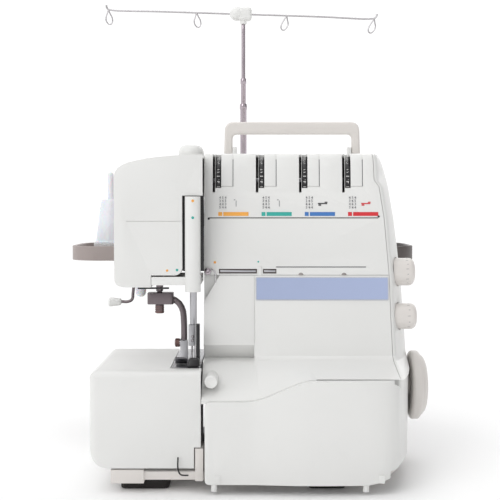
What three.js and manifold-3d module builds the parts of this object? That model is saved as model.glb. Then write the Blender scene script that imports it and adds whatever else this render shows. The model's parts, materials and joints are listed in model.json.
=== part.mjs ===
// A four-thread overlock sewing machine (serger), in millimetres, +Z up.
// It is drawn with X = 0 near the middle of the tower, Y = 0 at the front of the looper
// cover and Z = 0 on the table, and the whole is then moved so that the origin lies on
// the table under the centre of its box.
import * as THREE from 'three';
import Module from 'manifold-3d';
import { mergeVertices } from 'three/addons/utils/BufferGeometryUtils.js';

const wasm = await Module();
wasm.setup();

// ---- driving dimensions -------------------------------------------------------------
const GAP = 0.4;              // between pieces that touch
const WALL = 2.6;             // moulded plastic
const TRAY = { left: -189, right: 173, front: 200, back: 330, bottom: 194, floor: 204, rim: 209 };
const TOWER_LEFT = -42.5;
const TOWER_BACK = 196;
const SIDE_MID = 150;         // depth at which the right side is widest
const COVER_BOTTOM = 21;      // lower edge of the tower covers
const SEAM_Z = 187;           // between the lower front and the tension block
const SHELF_Z = 100;
const TENSION_BACK = 118;
const REAR_SPLIT = 170;
const BASE = { left: -122, right: 149, front: 26, arm_front: 12, bottom: 8.4, top: 20.5 };
const ARM = { left: -141, right: -43, plate_right: -71, front: 12, back: 165, bottom: 21.6, top: 107 };
const ARM_PIVOT = { x: -130, y: 158 };
const LOOPER = {
  left: -39.5, right: 133.5, bottom: 9, low_top: 81, top: 99.5, low_end: -4, top_start: 58, depth: 24 };
const LOOPER_HINGE = { y: 12, z: 14, r: 2 };
const HEAD = { left: -123.3, right: -43, front: 55, back: 165 };
const COLUMN = { left: -59, right: -45, front: 50, back: 60, bottom: 173, top: 259.6 };
const SHAFT = { y: 120, z: 78, r: 5 };
const MOTOR = { y: 160, z: 150, r: 24, pulley_r: 8 };
const SHAFT_PULLEY_R = 26;
const PULLEY_X = [103, 113];
const NEEDLE_BAR = { x: -52, y: 66, r: 3.2 };
const NEEDLE_X = [-53.4, -50.6];
const PRESSER = { x: -84, y: 80, r: 3.3 };
const LIFTER = { x: -110, y: 120, z: 184 };
const SLOT_X = [-33.5, 6.6, 46.7, 86.8];       // thread slots of the four tension units
const DIAL = { r: 22, y: 106.2, z: 274.8, width: 4.4, from_slot: 1.9 };
const PIN_X = [-151, -57, 37, 131];
const PIN_Y = 255;
const POLE = { x: -7, y: 235 };
const EYELET_X = [-150, -56.5, 39, 131.7];
const LOOP_LEAN = [1.5, 1.5, -3.4, -3.6];      // sideways lean of each thread loop
const BAR_Z = 454.4;
const BAR_DROP = 0.032;       // the thread bar's slope, falling towards +X
const STITCH_DIAL = { y: 95, z: 189, r: 13, x: [134, 155] };
const FEED_DIAL = { y: 85, z: 148, r: 12, x: [134, 155.5] };
const HANDLE = { y: 164, z: 306, left: -26, right: 110, leg: 8.6, top: 334.6, bar: 12.4, depth: 8 };
const LOOPER_PIVOT = { upper: { x: -10, z: 56 }, lower: { x: -16, z: 40 } };

// ---- materials ----------------------------------------------------------------------
const paint = (color, roughness, metalness = 0) =>
  new THREE.MeshStandardMaterial({ color, roughness, metalness });
const WHITE = paint(0xe9e8e6, 0.42);
const WARM = paint(0xdcd8d4, 0.5);
const TAUPE = paint(0x8b8380, 0.5);
const BLACK = paint(0x1a1718, 0.6);
const RUBBER = paint(0x17120f, 0.85);
const STEEL = paint(0xb9b8bc, 0.25, 1);
const CAST = paint(0x9a9b9e, 0.55, 1);
const CLEAR = paint(0xdfe6ee, 0.2);

// ---- solids -------------------------------------------------------------------------
function solid(geometry) {
  const bare = geometry.clone();
  bare.deleteAttribute('normal');
  bare.deleteAttribute('uv');
  const merged = mergeVertices(bare, 1e-4);
  const vertProperties = new Float32Array(merged.attributes.position.array);
  const triVerts = new Uint32Array(merged.index.array);
  const shape = new wasm.Manifold(new wasm.Mesh({ numProp: 3, vertProperties, triVerts }));
  if (shape.volume() > 0) return shape;
  triVerts.reverse();           // a profile drawn the other way round gives a body inside out
  return new wasm.Manifold(new wasm.Mesh({ numProp: 3, vertProperties, triVerts }));
}

function geometryOf(shape) {
  const { vertProperties, triVerts } = shape.getMesh();
  const geometry = new THREE.BufferGeometry();
  geometry.setAttribute('position', new THREE.BufferAttribute(new Float32Array(vertProperties), 3));
  geometry.setIndex(new THREE.BufferAttribute(new Uint32Array(triVerts), 1));
  geometry.computeVertexNormals();
  return geometry;
}

const join = (first, ...rest) => rest.reduce((sum, next) => sum.add(next), first);
const cut = (first, ...rest) => rest.reduce((left, next) => left.subtract(next), first);

const box = ([x0, x1], [y0, y1], [z0, z1]) => solid(
  new THREE.BoxGeometry(x1 - x0, y1 - y0, z1 - z0)
    .translate((x0 + x1) / 2, (y0 + y1) / 2, (z0 + z1) / 2));

function extruded(shape, depth) {
  return new THREE.ExtrudeGeometry(shape, { depth, bevelEnabled: false, curveSegments: 5 });
}

// Outlines given as [x, y], [x, z] and [y, z], drawn out along the axis left over.
const outline = (points) => new THREE.Shape(points.map(([u, v]) => new THREE.Vector2(u, v)));
const alongZ = (shape, [z0, z1]) => solid(extruded(shape, z1 - z0).translate(0, 0, z0));
const alongY = (shape, [y0, y1]) => solid(
  extruded(shape, y1 - y0).rotateX(Math.PI / 2).translate(0, y1, 0));
const alongX = (shape, [x0, x1]) => solid(
  extruded(shape, x1 - x0).applyMatrix4(new THREE.Matrix4().set(
    0, 0, 1, x0, 1, 0, 0, 0, 0, 1, 0, 0, 0, 0, 0, 1)));

function roundedRect([u0, u1], [v0, v1], r) {
  const shape = new THREE.Shape();
  shape.moveTo(u0 + r, v0);
  shape.lineTo(u1 - r, v0);
  shape.absarc(u1 - r, v0 + r, r, -Math.PI / 2, 0);
  shape.lineTo(u1, v1 - r);
  shape.absarc(u1 - r, v1 - r, r, 0, Math.PI / 2);
  shape.lineTo(u0 + r, v1);
  shape.absarc(u0 + r, v1 - r, r, Math.PI / 2, Math.PI);
  shape.lineTo(u0, v0 + r);
  shape.absarc(u0 + r, v0 + r, r, Math.PI, Math.PI * 1.5);
  return shape;
}

// A turned piece: the profile is [radius, place along the axis], closed on itself.
function turned(profile, segments = 24) {
  const points = profile.map(([r, h]) => new THREE.Vector2(r, h));
  return new THREE.LatheGeometry(points, segments).rotateX(Math.PI / 2);
}
const turnedZ = (profile, x, y, segments) => solid(turned(profile, segments).translate(x, y, 0));
const turnedX = (profile, y, z, segments) => solid(
  turned(profile, segments).rotateY(Math.PI / 2).translate(0, y, z));
const rodProfile = (r, a, b) => [[0, a], [r, a], [r, b], [0, b]];
const ringProfile = (inner, outer, a, b) => [[inner, a], [outer, a], [outer, b], [inner, b], [inner, a]];
const rodZ = (r, [a, b], x, y, segments = 14) => turnedZ(rodProfile(r, a, b), x, y, segments);
const rodX = (r, [a, b], y, z, segments = 16) => turnedX(rodProfile(r, a, b), y, z, segments);
const ringX = (inner, outer, [a, b], y, z, segments = 20) =>
  turnedX(ringProfile(inner, outer, a, b), y, z, segments);
const ringZ = (inner, outer, [a, b], x, y, segments = 16) =>
  turnedZ(ringProfile(inner, outer, a, b), x, y, segments);
const rodY = (r, [a, b], x, z, segments = 16) => solid(
  new THREE.CylinderGeometry(r, r, b - a, segments).translate(x, (a + b) / 2, z));

function tube(points, r, steps, sides = 5) {
  const circle = new THREE.Shape().absarc(0, 0, r, 0, Math.PI * 2);
  const path = new THREE.CatmullRomCurve3(points.map((p) => new THREE.Vector3(...p)));
  return solid(new THREE.ExtrudeGeometry(circle, {
    steps, extrudePath: path, bevelEnabled: false, curveSegments: sides }));
}

// A closed solid through flat sections, each a list of [x, y] points at one height.
function loft(sections, turn = new THREE.Matrix4()) {
  const count = sections[0].points.length;
  const positions = sections.flatMap(({ z, points }) => points.flatMap(([x, y]) => [x, y, z]));
  const index = [];
  for (let s = 0; s + 1 < sections.length; s += 1) {
    for (let i = 0; i < count; i += 1) {
      const a = s * count + i;
      const b = s * count + ((i + 1) % count);
      index.push(a, b, b + count, a, b + count, a + count);
    }
  }
  const capOf = (points) => THREE.ShapeUtils.triangulateShape(
    points.map(([x, y]) => new THREE.Vector2(x, y)), []);
  const topStart = (sections.length - 1) * count;
  capOf(sections[0].points).forEach(([a, b, c]) => index.push(c, b, a));
  capOf(sections.at(-1).points).forEach(([a, b, c]) =>
    index.push(topStart + a, topStart + b, topStart + c));
  const geometry = new THREE.BufferGeometry();
  geometry.setAttribute('position', new THREE.Float32BufferAttribute(positions, 3));
  geometry.setIndex(index);
  return solid(geometry.applyMatrix4(turn));
}

const machine = new THREE.Group();
function add(name, shape, material) {
  const mesh = new THREE.Mesh(geometryOf(shape), material);
  mesh.name = name;
  machine.add(mesh);
}

// ---- tower covers -------------------------------------------------------------------
// Height, front of the panel, right edge of the front panel, widest point of the right side.
const TOWER = [
  [COVER_BOTTOM, 26, 133, 152.4], [SHELF_Z - 0.4, 26, 133.6, 152.8],
  [SHELF_Z, 10, 134, 152.6], [110, 56, 133.5, 152.3], [114, 61, 133.4, 152.2],
  [150, 69, 132.4, 150], [SEAM_Z, 75, 131.5, 146.6], [214, 77, 129.2, 143.6], [240, 79, 127, 140],
  [269, 82, 122.5, 135], [275, 82.8, 118, 133.8], [286, 84, 117.6, 130.6],
  [295, 86.2, 117.3, 127], [299, 89.6, 117.1, 124], [300, 93, 116.5, 122],
].map(([z, front, frontRight, side]) => ({ z, front, frontRight, side }));

function towerSection({ z, front, frontRight, side }, inset) {
  const path = new THREE.Path();
  const right = frontRight - inset;
  const widest = side - inset;
  const face = front + inset;
  const back = TOWER_BACK - inset;
  path.moveTo(TOWER_LEFT + inset, face);
  path.lineTo(right - 4, face);
  path.quadraticCurveTo(right, face, right + 1.6, face + 4);
  path.quadraticCurveTo(widest, face + (SIDE_MID - face) * 0.45, widest, SIDE_MID);
  path.lineTo(widest - 3, back - 12);
  path.quadraticCurveTo(widest - 4, back, widest - 16, back);
  path.lineTo(TOWER_LEFT + inset, back);
  const points = path.getPoints(4).map((p) => [p.x, p.y]);
  return { z, points };
}

function towerShell() {
  const outer = loft(TOWER.map((section) => towerSection(section, 0)));
  const lowered = TOWER.map((section, i) => ({
    ...section,
    front: Math.max(section.front, TOWER[0].front),
    z: i === 0 ? section.z - 1 : section.z - WALL }));
  const inner = loft(lowered.map((section) => towerSection(section, WALL)));
  return cut(outer, inner);
}

// The left part of the lower front is a thread guard, undercut above the shelf.
const GUARD = { right: 4, edge: 124, edge_y: 62.5, foot: 110, foot_y: 80 };

function guardRecess(inset) {
  const edge = GUARD.edge + inset * 0.78;
  return alongX(outline([
    [0, SHELF_Z + 2 - inset], [GUARD.foot_y + inset * 2.53, GUARD.foot - inset * 0.75],
    [GUARD.edge_y + inset * 0.63, edge], [40, edge]]), [TOWER_LEFT - 1, GUARD.right + inset]);
}

// Height of the looper cover's upper edge, an S-shaped line rising to the right.
function coverEdge(x) {
  const { low_top: low, top, low_end: start, top_start: end } = LOOPER;
  const t = Math.min(Math.max((x - start) / (end - start), 0), 1);
  return low + (top - low) * t * t * (3 - 2 * t);
}

// A solid whose [y, z] section changes along X.
function ruled(places, section) {
  const sections = places.map((x) => ({ z: x, points: section(x) }));
  return loft(sections, new THREE.Matrix4().set(0, 0, 1, 0, 1, 0, 0, 0, 0, 1, 0, 0, 0, 0, 0, 1));
}

const EDGE_PLACES = [-60, LOOPER.low_end, ...[1, 2, 3, 4, 5, 6, 7, 8, 9].map((i) =>
  LOOPER.low_end + (LOOPER.top_start - LOOPER.low_end) * i / 10), LOOPER.top_start, 160];

// The shelf slopes down from the panel's foot to the looper cover's edge.
const SHELF = { front: 10, back: 56, back_z: 110, thick: 2.8 };

function shelfSection(x, top) {
  const edge = coverEdge(x) + GAP;
  const { front, back, back_z: backZ, thick } = SHELF;
  const line = [[front, edge], [back, backZ]];
  return top
    ? [[front - 12, edge - 3], ...line, [back, backZ + 3], [front - 12, backZ + 3]]
    : [[front, edge - thick], [back, backZ - thick * 1.2], ...line.reverse()];
}

// Everything right of the line where the front covers end belongs to the side cover.
function sideRegion(shift) {
  const edge = TOWER.map(({ z, frontRight }) => [frontRight - 2.5 + shift, z]);
  const low = [edge[0][0], COVER_BOTTOM - 3];
  const high = [edge.at(-1)[0], 303];
  return alongY(outline([[170, COVER_BOTTOM - 3], [170, 303], high, ...edge.reverse(), low]), [-5, 210]);
}

const towerRegion = (y, z) => cut(box([-60, 170], y, z), sideRegion(-GAP));

function dialWindow(slotX) {
  const left = slotX + DIAL.from_slot - 0.5;
  const line = slotX + 17.7;
  return join(
    box([slotX - 1.2, slotX + 1.2], [60, TENSION_BACK - 4], [263.5, 302]),
    box([left, left + DIAL.width + 1], [60, TENSION_BACK - 2], [267.6, 302]),
    faceGroove([line - 0.4, line + 0.4], [269, 301]),
    faceGroove([left + DIAL.width + 0.4, line + 0.4], [268.6, 269.4]));
}

// A shallow line in the front face, which leans back as it rises.
function faceGroove(x, z, depth = 1) {
  const skin = TOWER.map((section) => [section.front + depth, section.z]);
  const plate = alongX(outline([[40, 112], ...skin.filter(([, h]) => h > 112), [40, 300]]), x);
  return plate.intersect(box(x, [40, 120], z));
}

function addTowerCovers() {
  const recess = guardRecess(0);
  const lining = cut(guardRecess(WALL), recess).intersect(loft(TOWER.map((s) => towerSection(s, 0))));
  const shell = towerShell();
  const armDoor = box([TOWER_LEFT - 2, TOWER_LEFT + 4], [92, 160], [SEAM_Z + 8, 284]);

  const above = ruled(EDGE_PLACES, (x) => shelfSection(x, true));
  const slope = ruled([TOWER_LEFT, ...EDGE_PLACES.slice(1, -1)], (x) => shelfSection(x, false));
  const lower = join(cut(shell, recess), lining)
    .intersect(towerRegion([-5, REAR_SPLIT - GAP / 2], [COVER_BOTTOM - 1, SEAM_Z - GAP / 2]));
  const opening = [
    box([TOWER_LEFT - 2, 8], [20, 32], [15, 76]),
    box([TOWER_LEFT - 2, TOWER_LEFT + 4], [20, 200], [15, 103])];
  const corner = alongY(outline([[-44, 160], [-44, 187], [-28, 187]]), [60, 78.2]);
  const cornerBack = box([TOWER_LEFT, -25], [78.2, 80.6], [157, SEAM_Z - GAP / 2]);
  const guardEdge = faceGroove([GUARD.right, GUARD.right + 0.7], [GUARD.edge, SEAM_Z], 0.8);
  add('lower_front_cover', join(
    cut(lower, above, guardEdge, ...opening, corner),
    cut(slope, recess), cornerBack), WHITE);

  const tension = shell.intersect(towerRegion([-5, TENSION_BACK - GAP / 2], [SEAM_Z + GAP / 2, 303]));
  const lines = [
    faceGroove([-39, 119], [239.4, 240.4]), faceGroove([24, 107.6], [194, 195]),
    faceGroove([-28.8, 6.5], [188.4, 192.8], 1.8), faceGroove([12, 24.5], [188.4, 192.8], 1.8)];
  add('tension_cover', cut(tension, armDoor, ...lines, ...SLOT_X.map(dialWindow)), WHITE);

  const top = shell.intersect(
    towerRegion([TENSION_BACK + GAP / 2, REAR_SPLIT - GAP / 2], [SEAM_Z + GAP / 2, 303]));
  const ears = [HANDLE.left + HANDLE.leg + GAP, HANDLE.right - HANDLE.leg - GAP - 4]
    .map((x) => box([x, x + 4], [HANDLE.y - 5, HANDLE.y + 5], [297.5, HANDLE.z + 3.5]));
  add('top_cover', join(cut(top, armDoor), ...ears), WHITE);

  add('rear_cover', cut(
    shell.intersect(towerRegion([REAR_SPLIT + GAP / 2, 210], [COVER_BOTTOM - 1, 303])),
    box([TOWER_LEFT - 2, TOWER_LEFT + 4], [160, 193], [15, 60])), WHITE);

  const side = shell.intersect(sideRegion(0));
  add('right_side_cover', cut(side,
    rodX(10, [120, 170], SHAFT.y, SHAFT.z, 24),
    rodX(STITCH_DIAL.r + 0.8, [120, 170], STITCH_DIAL.y, STITCH_DIAL.z, 28),
    rodX(FEED_DIAL.r + 0.8, [120, 170], FEED_DIAL.y, FEED_DIAL.z, 28),
    box([140, 160], [159, 181], [29.5, 50.5]),
    box([140, 160], [161, 179], [56.5, 71.5])), WHITE);
}

// ---- head ---------------------------------------------------------------------------
function faceOutline(inset) {
  const shape = new THREE.Shape();
  const left = HEAD.left + inset;
  const right = HEAD.right + (inset ? 5 : 0);
  const low = 177 + inset;
  const step = 188 + inset;
  const inner = COLUMN.left - 2.5 - inset;
  const r = 7;
  shape.moveTo(left, low + 8);
  shape.quadraticCurveTo(left, low, left + 11, low);
  shape.lineTo(-90 - inset, low);
  shape.lineTo(-90 - inset, step);
  shape.lineTo(inner - r, step);
  shape.absarc(inner - r, step + r, r, -Math.PI / 2, 0);
  shape.lineTo(inner, COLUMN.top + 0.8 + inset);
  shape.lineTo(right, COLUMN.top + 0.8 + inset);
  shape.lineTo(right, 297.5 - inset);
  shape.quadraticCurveTo(-80, 297.2 - inset, -103, 292.2 - inset);
  shape.quadraticCurveTo(left, 288.5 - inset, left, 277);
  return shape;
}

function addHead() {
  const shell = cut(
    alongY(faceOutline(0), [HEAD.front, HEAD.back]),
    alongY(faceOutline(WALL), [HEAD.front + WALL, HEAD.back - WALL]),
    box([-70, -40], [60.8, HEAD.back - WALL], [192, COLUMN.top + 5]));
  const seam = box([-112, -60], [50, HEAD.front + 0.8], [236.8, 237.4]);
  add('face_cover', cut(shell, seam,
    rodZ(PRESSER.r + 1.2, [170, 195], PRESSER.x, PRESSER.y),
    box([-121, -106], [LIFTER.y - 4.5, LIFTER.y + 4.5], [170, 186]),
    rodZ(5.8, [285, 300], -56, 110)), WHITE);

  const width = COLUMN.right - COLUMN.left;
  const mid = (COLUMN.left + COLUMN.right) / 2;
  const plan = (inset) => {
    const half = width / 2 - inset;
    const shape = new THREE.Shape();
    shape.moveTo(mid - half, COLUMN.back + inset * 2);
    shape.lineTo(mid - half, COLUMN.front + 5);
    shape.absellipse(mid, COLUMN.front + 5, half, 5 - inset, Math.PI, Math.PI * 2);
    shape.lineTo(mid + half, COLUMN.back + inset * 2);
    return shape;
  };
  const post = cut(
    alongZ(plan(0), [COLUMN.bottom, COLUMN.top]),
    alongZ(plan(1.8), [COLUMN.bottom - 1, COLUMN.top - 2]));
  const sill = cut(
    box([-89.6, COLUMN.right], [HEAD.front, 122], [179, 186.6]),
    box([-87.6, COLUMN.right - 2], [HEAD.front + 2, 120], [181, 190]),
    box([mid - 5.2, mid + 5.2], [HEAD.front - 4, NEEDLE_BAR.y + 4.5], [170, 190]),
    rodZ(PRESSER.r + 0.8, [170, 190], PRESSER.x, PRESSER.y));
  add('thread_column_cover', join(post, sill), WHITE);
  add('lamp_lens', turnedZ(
    [[0, 165.6], [2.6, 166.2], [4.4, 168], [5, 170.4], [5, 176.6], [0, 176.6]], -102.5, 90, 20), CLEAR);
}

// ---- base, feet and castings --------------------------------------------------------
function addBase() {
  const plan = new THREE.Shape();
  plan.moveTo(BASE.left, BASE.front);
  plan.lineTo(104, BASE.front);
  plan.quadraticCurveTo(122, BASE.front + 2, 134, 60);
  plan.quadraticCurveTo(BASE.right, 100, BASE.right, SIDE_MID);
  plan.lineTo(BASE.right - 2, 184);
  plan.quadraticCurveTo(BASE.right - 3, 194, BASE.right - 14, 194);
  plan.lineTo(BASE.left, 194);
  const plate = alongZ(plan, [BASE.bottom, BASE.top]);
  const armBar = box([-94, ARM.right + 3], [BASE.arm_front + 2, 40], [11.2, 18.4]);
  const armStep = box([BASE.left, -93], [BASE.arm_front, 40], [BASE.bottom, BASE.top - 0.4]);
  const latch = box([-48, -41], [BASE.arm_front, 24], [BASE.bottom + 2, 39]);
  const pivotTab = box(
    [ARM_PIVOT.x - 5, -110], [ARM_PIVOT.y - 8, ARM_PIVOT.y + 8], [BASE.bottom, BASE.top]);
  const pivotPin = rodZ(3, [BASE.top - 2, 62], ARM_PIVOT.x, ARM_PIVOT.y);
  const lugs = [-20, 100].map((x) => join(
    box([x, x + 6], [LOOPER_HINGE.y, 30], [10.6, 17.4]),
    rodX(4, [x, x + 6], LOOPER_HINGE.y, LOOPER_HINGE.z)));
  const bore = rodX(LOOPER_HINGE.r + 0.5, [-40, 140], LOOPER_HINGE.y, LOOPER_HINGE.z);
  const hingeLugs = cut(join(...lugs), bore);
  add('base_plate', join(plate, armBar, armStep, latch, pivotTab, pivotPin, hingeLugs), WARM);

  const feet = { foot_front_left: [-115, -72, 27, 55], foot_front_right: [52, 85, 27, 55],
    foot_rear_left: [-112, -78, 150, 180], foot_rear_right: [98, 132, 150, 180] };
  Object.entries(feet).forEach(([name, [x0, x1, y0, y1]]) =>
    add(name, alongZ(roundedRect([x0, x1], [y0, y1], 5), [0, BASE.bottom - 0.3]), RUBBER));
}

function addCastings() {
  const bearingBore = rodX(11, [-60, 140], SHAFT.y, SHAFT.z, 24);
  const bed = join(
    box([-100, 130], [128, 164], [21, 28]), box([-38, 130], [96, 164], [21, 28]),
    box([-24, -12], [98, 142], [27, 100]), box([117, 127], [98, 142], [27, 100]),
    box([-66, -47], [124, 160], [27, 102.6]));
  const looperPins = [rodY(2.6, [80, 99], LOOPER_PIVOT.upper.x, LOOPER_PIVOT.upper.z, 12),
    rodY(2.6, [80, 99], LOOPER_PIVOT.lower.x, LOOPER_PIVOT.lower.z, 12)];
  add('bed_casting', join(cut(bed, bearingBore), ...looperPins), CAST);
  add('main_bearing_left', ringX(SHAFT.r + 0.4, 10.6, [-24, -12], SHAFT.y, SHAFT.z), STEEL);
  add('main_bearing_right', ringX(SHAFT.r + 0.4, 10.6, [117, 127], SHAFT.y, SHAFT.z), STEEL);

  const frame = join(
    box([-24, -12], [98, 142], [100.4, 244]),
    box([-112, 100], [98, 142], [232, 244]),
    box([-92, -46], [61.5, 104], [226, 240]));
  add('head_casting', cut(frame,
    rodZ(NEEDLE_BAR.r + 0.4, [220, 250], NEEDLE_BAR.x, NEEDLE_BAR.y),
    rodZ(PRESSER.r + 0.4, [220, 250], PRESSER.x, PRESSER.y)), CAST);
}

// ---- drive --------------------------------------------------------------------------
function beltOutline(offset) {
  const a = new THREE.Vector2(SHAFT.y, SHAFT.z);
  const b = new THREE.Vector2(MOTOR.y, MOTOR.z);
  const ra = SHAFT_PULLEY_R + offset;
  const rb = MOTOR.pulley_r + offset;
  const along = Math.atan2(b.y - a.y, b.x - a.x);
  const lean = Math.acos((ra - rb) / a.distanceTo(b));
  const shape = new THREE.Shape();
  shape.absarc(b.x, b.y, rb, along - lean, along + lean);
  shape.absarc(a.x, a.y, ra, along + lean, along - lean + Math.PI * 2);
  return shape;
}

function addDrive() {
  const shaft = join(
    rodX(SHAFT.r, [-34, 149], SHAFT.y, SHAFT.z),
    rodX(SHAFT_PULLEY_R, PULLEY_X, SHAFT.y, SHAFT.z, 32),
    rodX(13, [-34, -26], SHAFT.y + 5, SHAFT.z, 20));
  add('main_shaft', shaft, STEEL);
  add('handwheel', turnedX([[0, 150.2], [9, 150.2], [9, 153.6], [29, 153.6], [33, 155], [33, 161.6],
    [31.6, 163.4], [29.4, 164.2], [27, 167.6], [20, 169.8], [10, 170.8], [0, 171]],
    SHAFT.y, SHAFT.z, 36), WARM);
  add('drive_motor', join(
    rodX(MOTOR.r, [20, 92], MOTOR.y, MOTOR.z, 28),
    box([30, 80], [MOTOR.y - 20, MOTOR.y + 20], [MOTOR.z - 27, MOTOR.z - 10]),
    rodX(9, [90, 98], MOTOR.y, MOTOR.z)), CAST);
  add('motor_pulley', rodX(MOTOR.pulley_r, [98.6, 113], MOTOR.y, MOTOR.z, 20), STEEL);
  const belt = beltOutline(2);
  belt.holes.push(new THREE.Path(beltOutline(0.4).getPoints(12)));
  add('drive_belt', alongX(belt, [PULLEY_X[0] + 1, PULLEY_X[1] - 1]), RUBBER);
}

// ---- sewing parts -------------------------------------------------------------------
function addNeedleParts() {
  add('needle_bar', rodZ(NEEDLE_BAR.r, [142.4, 252], NEEDLE_BAR.x, NEEDLE_BAR.y), STEEL);
  const clamp = join(
    alongZ(roundedRect([-56.4, -49.8], [61.8, 70.2], 1.6), [123, 142]),
    rodY(1.3, [59.6, 62.4], -52.6, 131.6, 10), rodY(1.3, [59.6, 62.4], -52.4, 128, 10));
  add('needle_clamp', clamp, STEEL);
  NEEDLE_X.forEach((x, i) => add(`needle_${i + 1}`, turnedZ(
    [[0, 96], [0.75, 100], [0.75, 116], [1, 117], [1, 122.6], [0, 122.6]], x, NEEDLE_BAR.y, 8), STEEL));
}

function addPresserParts() {
  const { x, y } = PRESSER;
  add('presser_bar', join(
    rodZ(PRESSER.r, [172, 256], x, y), rodZ(4, [151.5, 159.6], x, y), rodZ(2.4, [159, 173], x, y)), STEEL);
  const bracket = cut(
    alongZ(roundedRect([x - 11, x + 13], [y - 8, y + 8], 3), [160, 170.6]),
    rodZ(2.9, [150, 180], x, y));
  const arm = tube([[-73, 79, 165], [-67, 78, 162], [-62.5, 76.5, 155], [-61.2, 75.4, 144], [-61, 75, 127]],
    3, 10);
  add('presser_arm', join(bracket, arm), STEEL);
  const sole = alongX(outline([[48, 113.5], [50, 112], [58, 107.6], [98, 107.6], [98, 109.6], [60, 110],
    [50, 114.4]]), [-68, -56.2]);
  const ankle = join(
    box([-64.4, -57.6], [70, 80], [109.4, 126.6]), rodX(3.6, [-69.4, -64], 75, 124.4, 14));
  add('presser_foot', join(sole, ankle), STEEL);
  const rod = tube([[LIFTER.x, LIFTER.y, LIFTER.z], [-111, LIFTER.y, 172], [-113, LIFTER.y, 164],
    [-123, LIFTER.y, 159], [-126, LIFTER.y, 158.6]], 1.9, 12);
  const paddle = alongY(roundedRect([-136.5, -124], [154, 162.6], 3.6), [LIFTER.y - 7, LIFTER.y + 7]);
  add('presser_lifter', join(rod, paddle, rodY(4, [LIFTER.y - 4, LIFTER.y + 4], LIFTER.x, LIFTER.z)), WARM);
}

function addPlateParts() {
  const plate = box([ARM.plate_right + 1, -44.6], [31, ARM.back], [103, 106.6]);
  add('needle_plate', cut(plate,
    box([-55.6, -48.4], [62.5, 69.5], [100, 110]),
    box([-66.4, -57.6], [70, 96], [100, 110]),
    box([-52, -40], [48.6, 59.4], [100, 110])), STEEL);
  add('feed_dog', box([-65.6, -58.4], [74, 92], [92, 106.2]), STEEL);
  add('lower_knife', box([-51.4, -49.4], [49.4, 58.6], [78, 106.4]), STEEL);
  add('upper_knife', box([-48.8, -45.6], [50, 58], [72, 144]), BLACK);

  const looperArm = (pivot, y, tip) => join(
    rodY(6, [y, y + 2.5], pivot.x, pivot.z),
    alongY(outline([[pivot.x - 4, pivot.z - 3], [pivot.x + 4, pivot.z + 3], [tip.x + 16, tip.z - 4],
      [tip.x + 8, tip.z + 1.5], [tip.x, tip.z], [tip.x + 8, tip.z - 3.5]]), [y, y + 2.5]));
  const hub = (pivot, y) => rodY(4.4, [y, 79], pivot.x, pivot.z);
  const bore = (pivot) => rodY(3, [70, 101], pivot.x, pivot.z, 12);
  const { upper, lower } = LOOPER_PIVOT;
  const sleeve = (pivot) => rodY(5, [78, 92], pivot.x, pivot.z);
  add('upper_looper', cut(join(looperArm(upper, 60, { x: -40, z: 96 }), hub(upper, 60), sleeve(upper)),
    bore(upper)), STEEL);
  add('lower_looper', cut(join(looperArm(lower, 69.6, { x: -44, z: 86 }), hub(lower, 69.6), sleeve(lower)),
    bore(lower)), STEEL);
}

// ---- covers that open ---------------------------------------------------------------
function addLooperCover() {
  const front = (inset) => {
    const shape = new THREE.Shape();
    const deep = LOOPER.depth + (inset ? 5 : 0);
    shape.moveTo(LOOPER.left + inset, deep);
    shape.lineTo(LOOPER.left + inset, 7 + inset);
    shape.quadraticCurveTo(LOOPER.left + inset, 4 + inset, LOOPER.left + 4 + inset, 4 + inset);
    shape.lineTo(4, 4 + inset);
    shape.bezierCurveTo(18, 3 + inset, 30, inset, 58, inset);
    shape.bezierCurveTo(88, inset, 106, 2 + inset, 116 - inset, 5 + inset);
    shape.quadraticCurveTo(LOOPER.right - inset, 10 + inset, LOOPER.right - inset, LOOPER.depth);
    shape.lineTo(LOOPER.right - inset, deep);
    return shape;
  };
  const face = (inset) => {
    const shape = new THREE.Shape();
    const { left, right, bottom, low_top: low, top } = LOOPER;
    shape.moveTo(left + inset, bottom + inset + 4);
    shape.quadraticCurveTo(left + inset, bottom + inset, left + inset + 5, bottom + inset);
    shape.lineTo(right - 30, bottom + inset);
    shape.quadraticCurveTo(right - inset, bottom + inset + 3, right - inset, 34);
    shape.lineTo(right - inset, top - inset);
    EDGE_PLACES.slice(1, -1).reverse().forEach((x) => shape.lineTo(x, coverEdge(x) - inset));
    shape.lineTo(left + 6, low - inset);
    shape.quadraticCurveTo(left + inset, low - inset, left + inset, low - 6);
    return shape;
  };
  const depthLimit = ruled(EDGE_PLACES, (x) => {
    const edge = coverEdge(x);
    return [[-2, 0], [7.4, 0], [7.4, 20], [LOOPER.depth, 26], [LOOPER.depth, edge - 12.5],
      [SHELF.front - GAP, edge - 3.5], [SHELF.front - GAP, edge + 3], [-2, edge + 3]];
  });
  const pegs = [[-31.3, 6.8, 2.7], [100.9, 5.4, 2.8]].map(([x, y, r]) => rodZ(r, [3, 11], x, y, 16));
  const body = cut(
    alongZ(front(0), [0, 105]).intersect(alongY(face(0), [-2, LOOPER.depth])),
    alongZ(front(WALL), [0, 105]).intersect(alongY(face(WALL), [-2, LOOPER.depth + 5])));
  const { y, z } = LOOPER_HINGE;
  const eyes = [-31, 112].map((x) => join(
    box([x, x + 5], [3, y], [z - 3.4, z + 3.4]), rodX(3.6, [x, x + 5], y, z)));
  const bore = rodX(LOOPER_HINGE.r + 0.5, [-38, 130], y, z);
  add('looper_cover', join(body.intersect(depthLimit), ...pegs, cut(join(...eyes), bore)), WHITE);
  add('looper_cover_rod', rodX(LOOPER_HINGE.r, [-34, 120], y, z, 12), STEEL);
}

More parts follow.
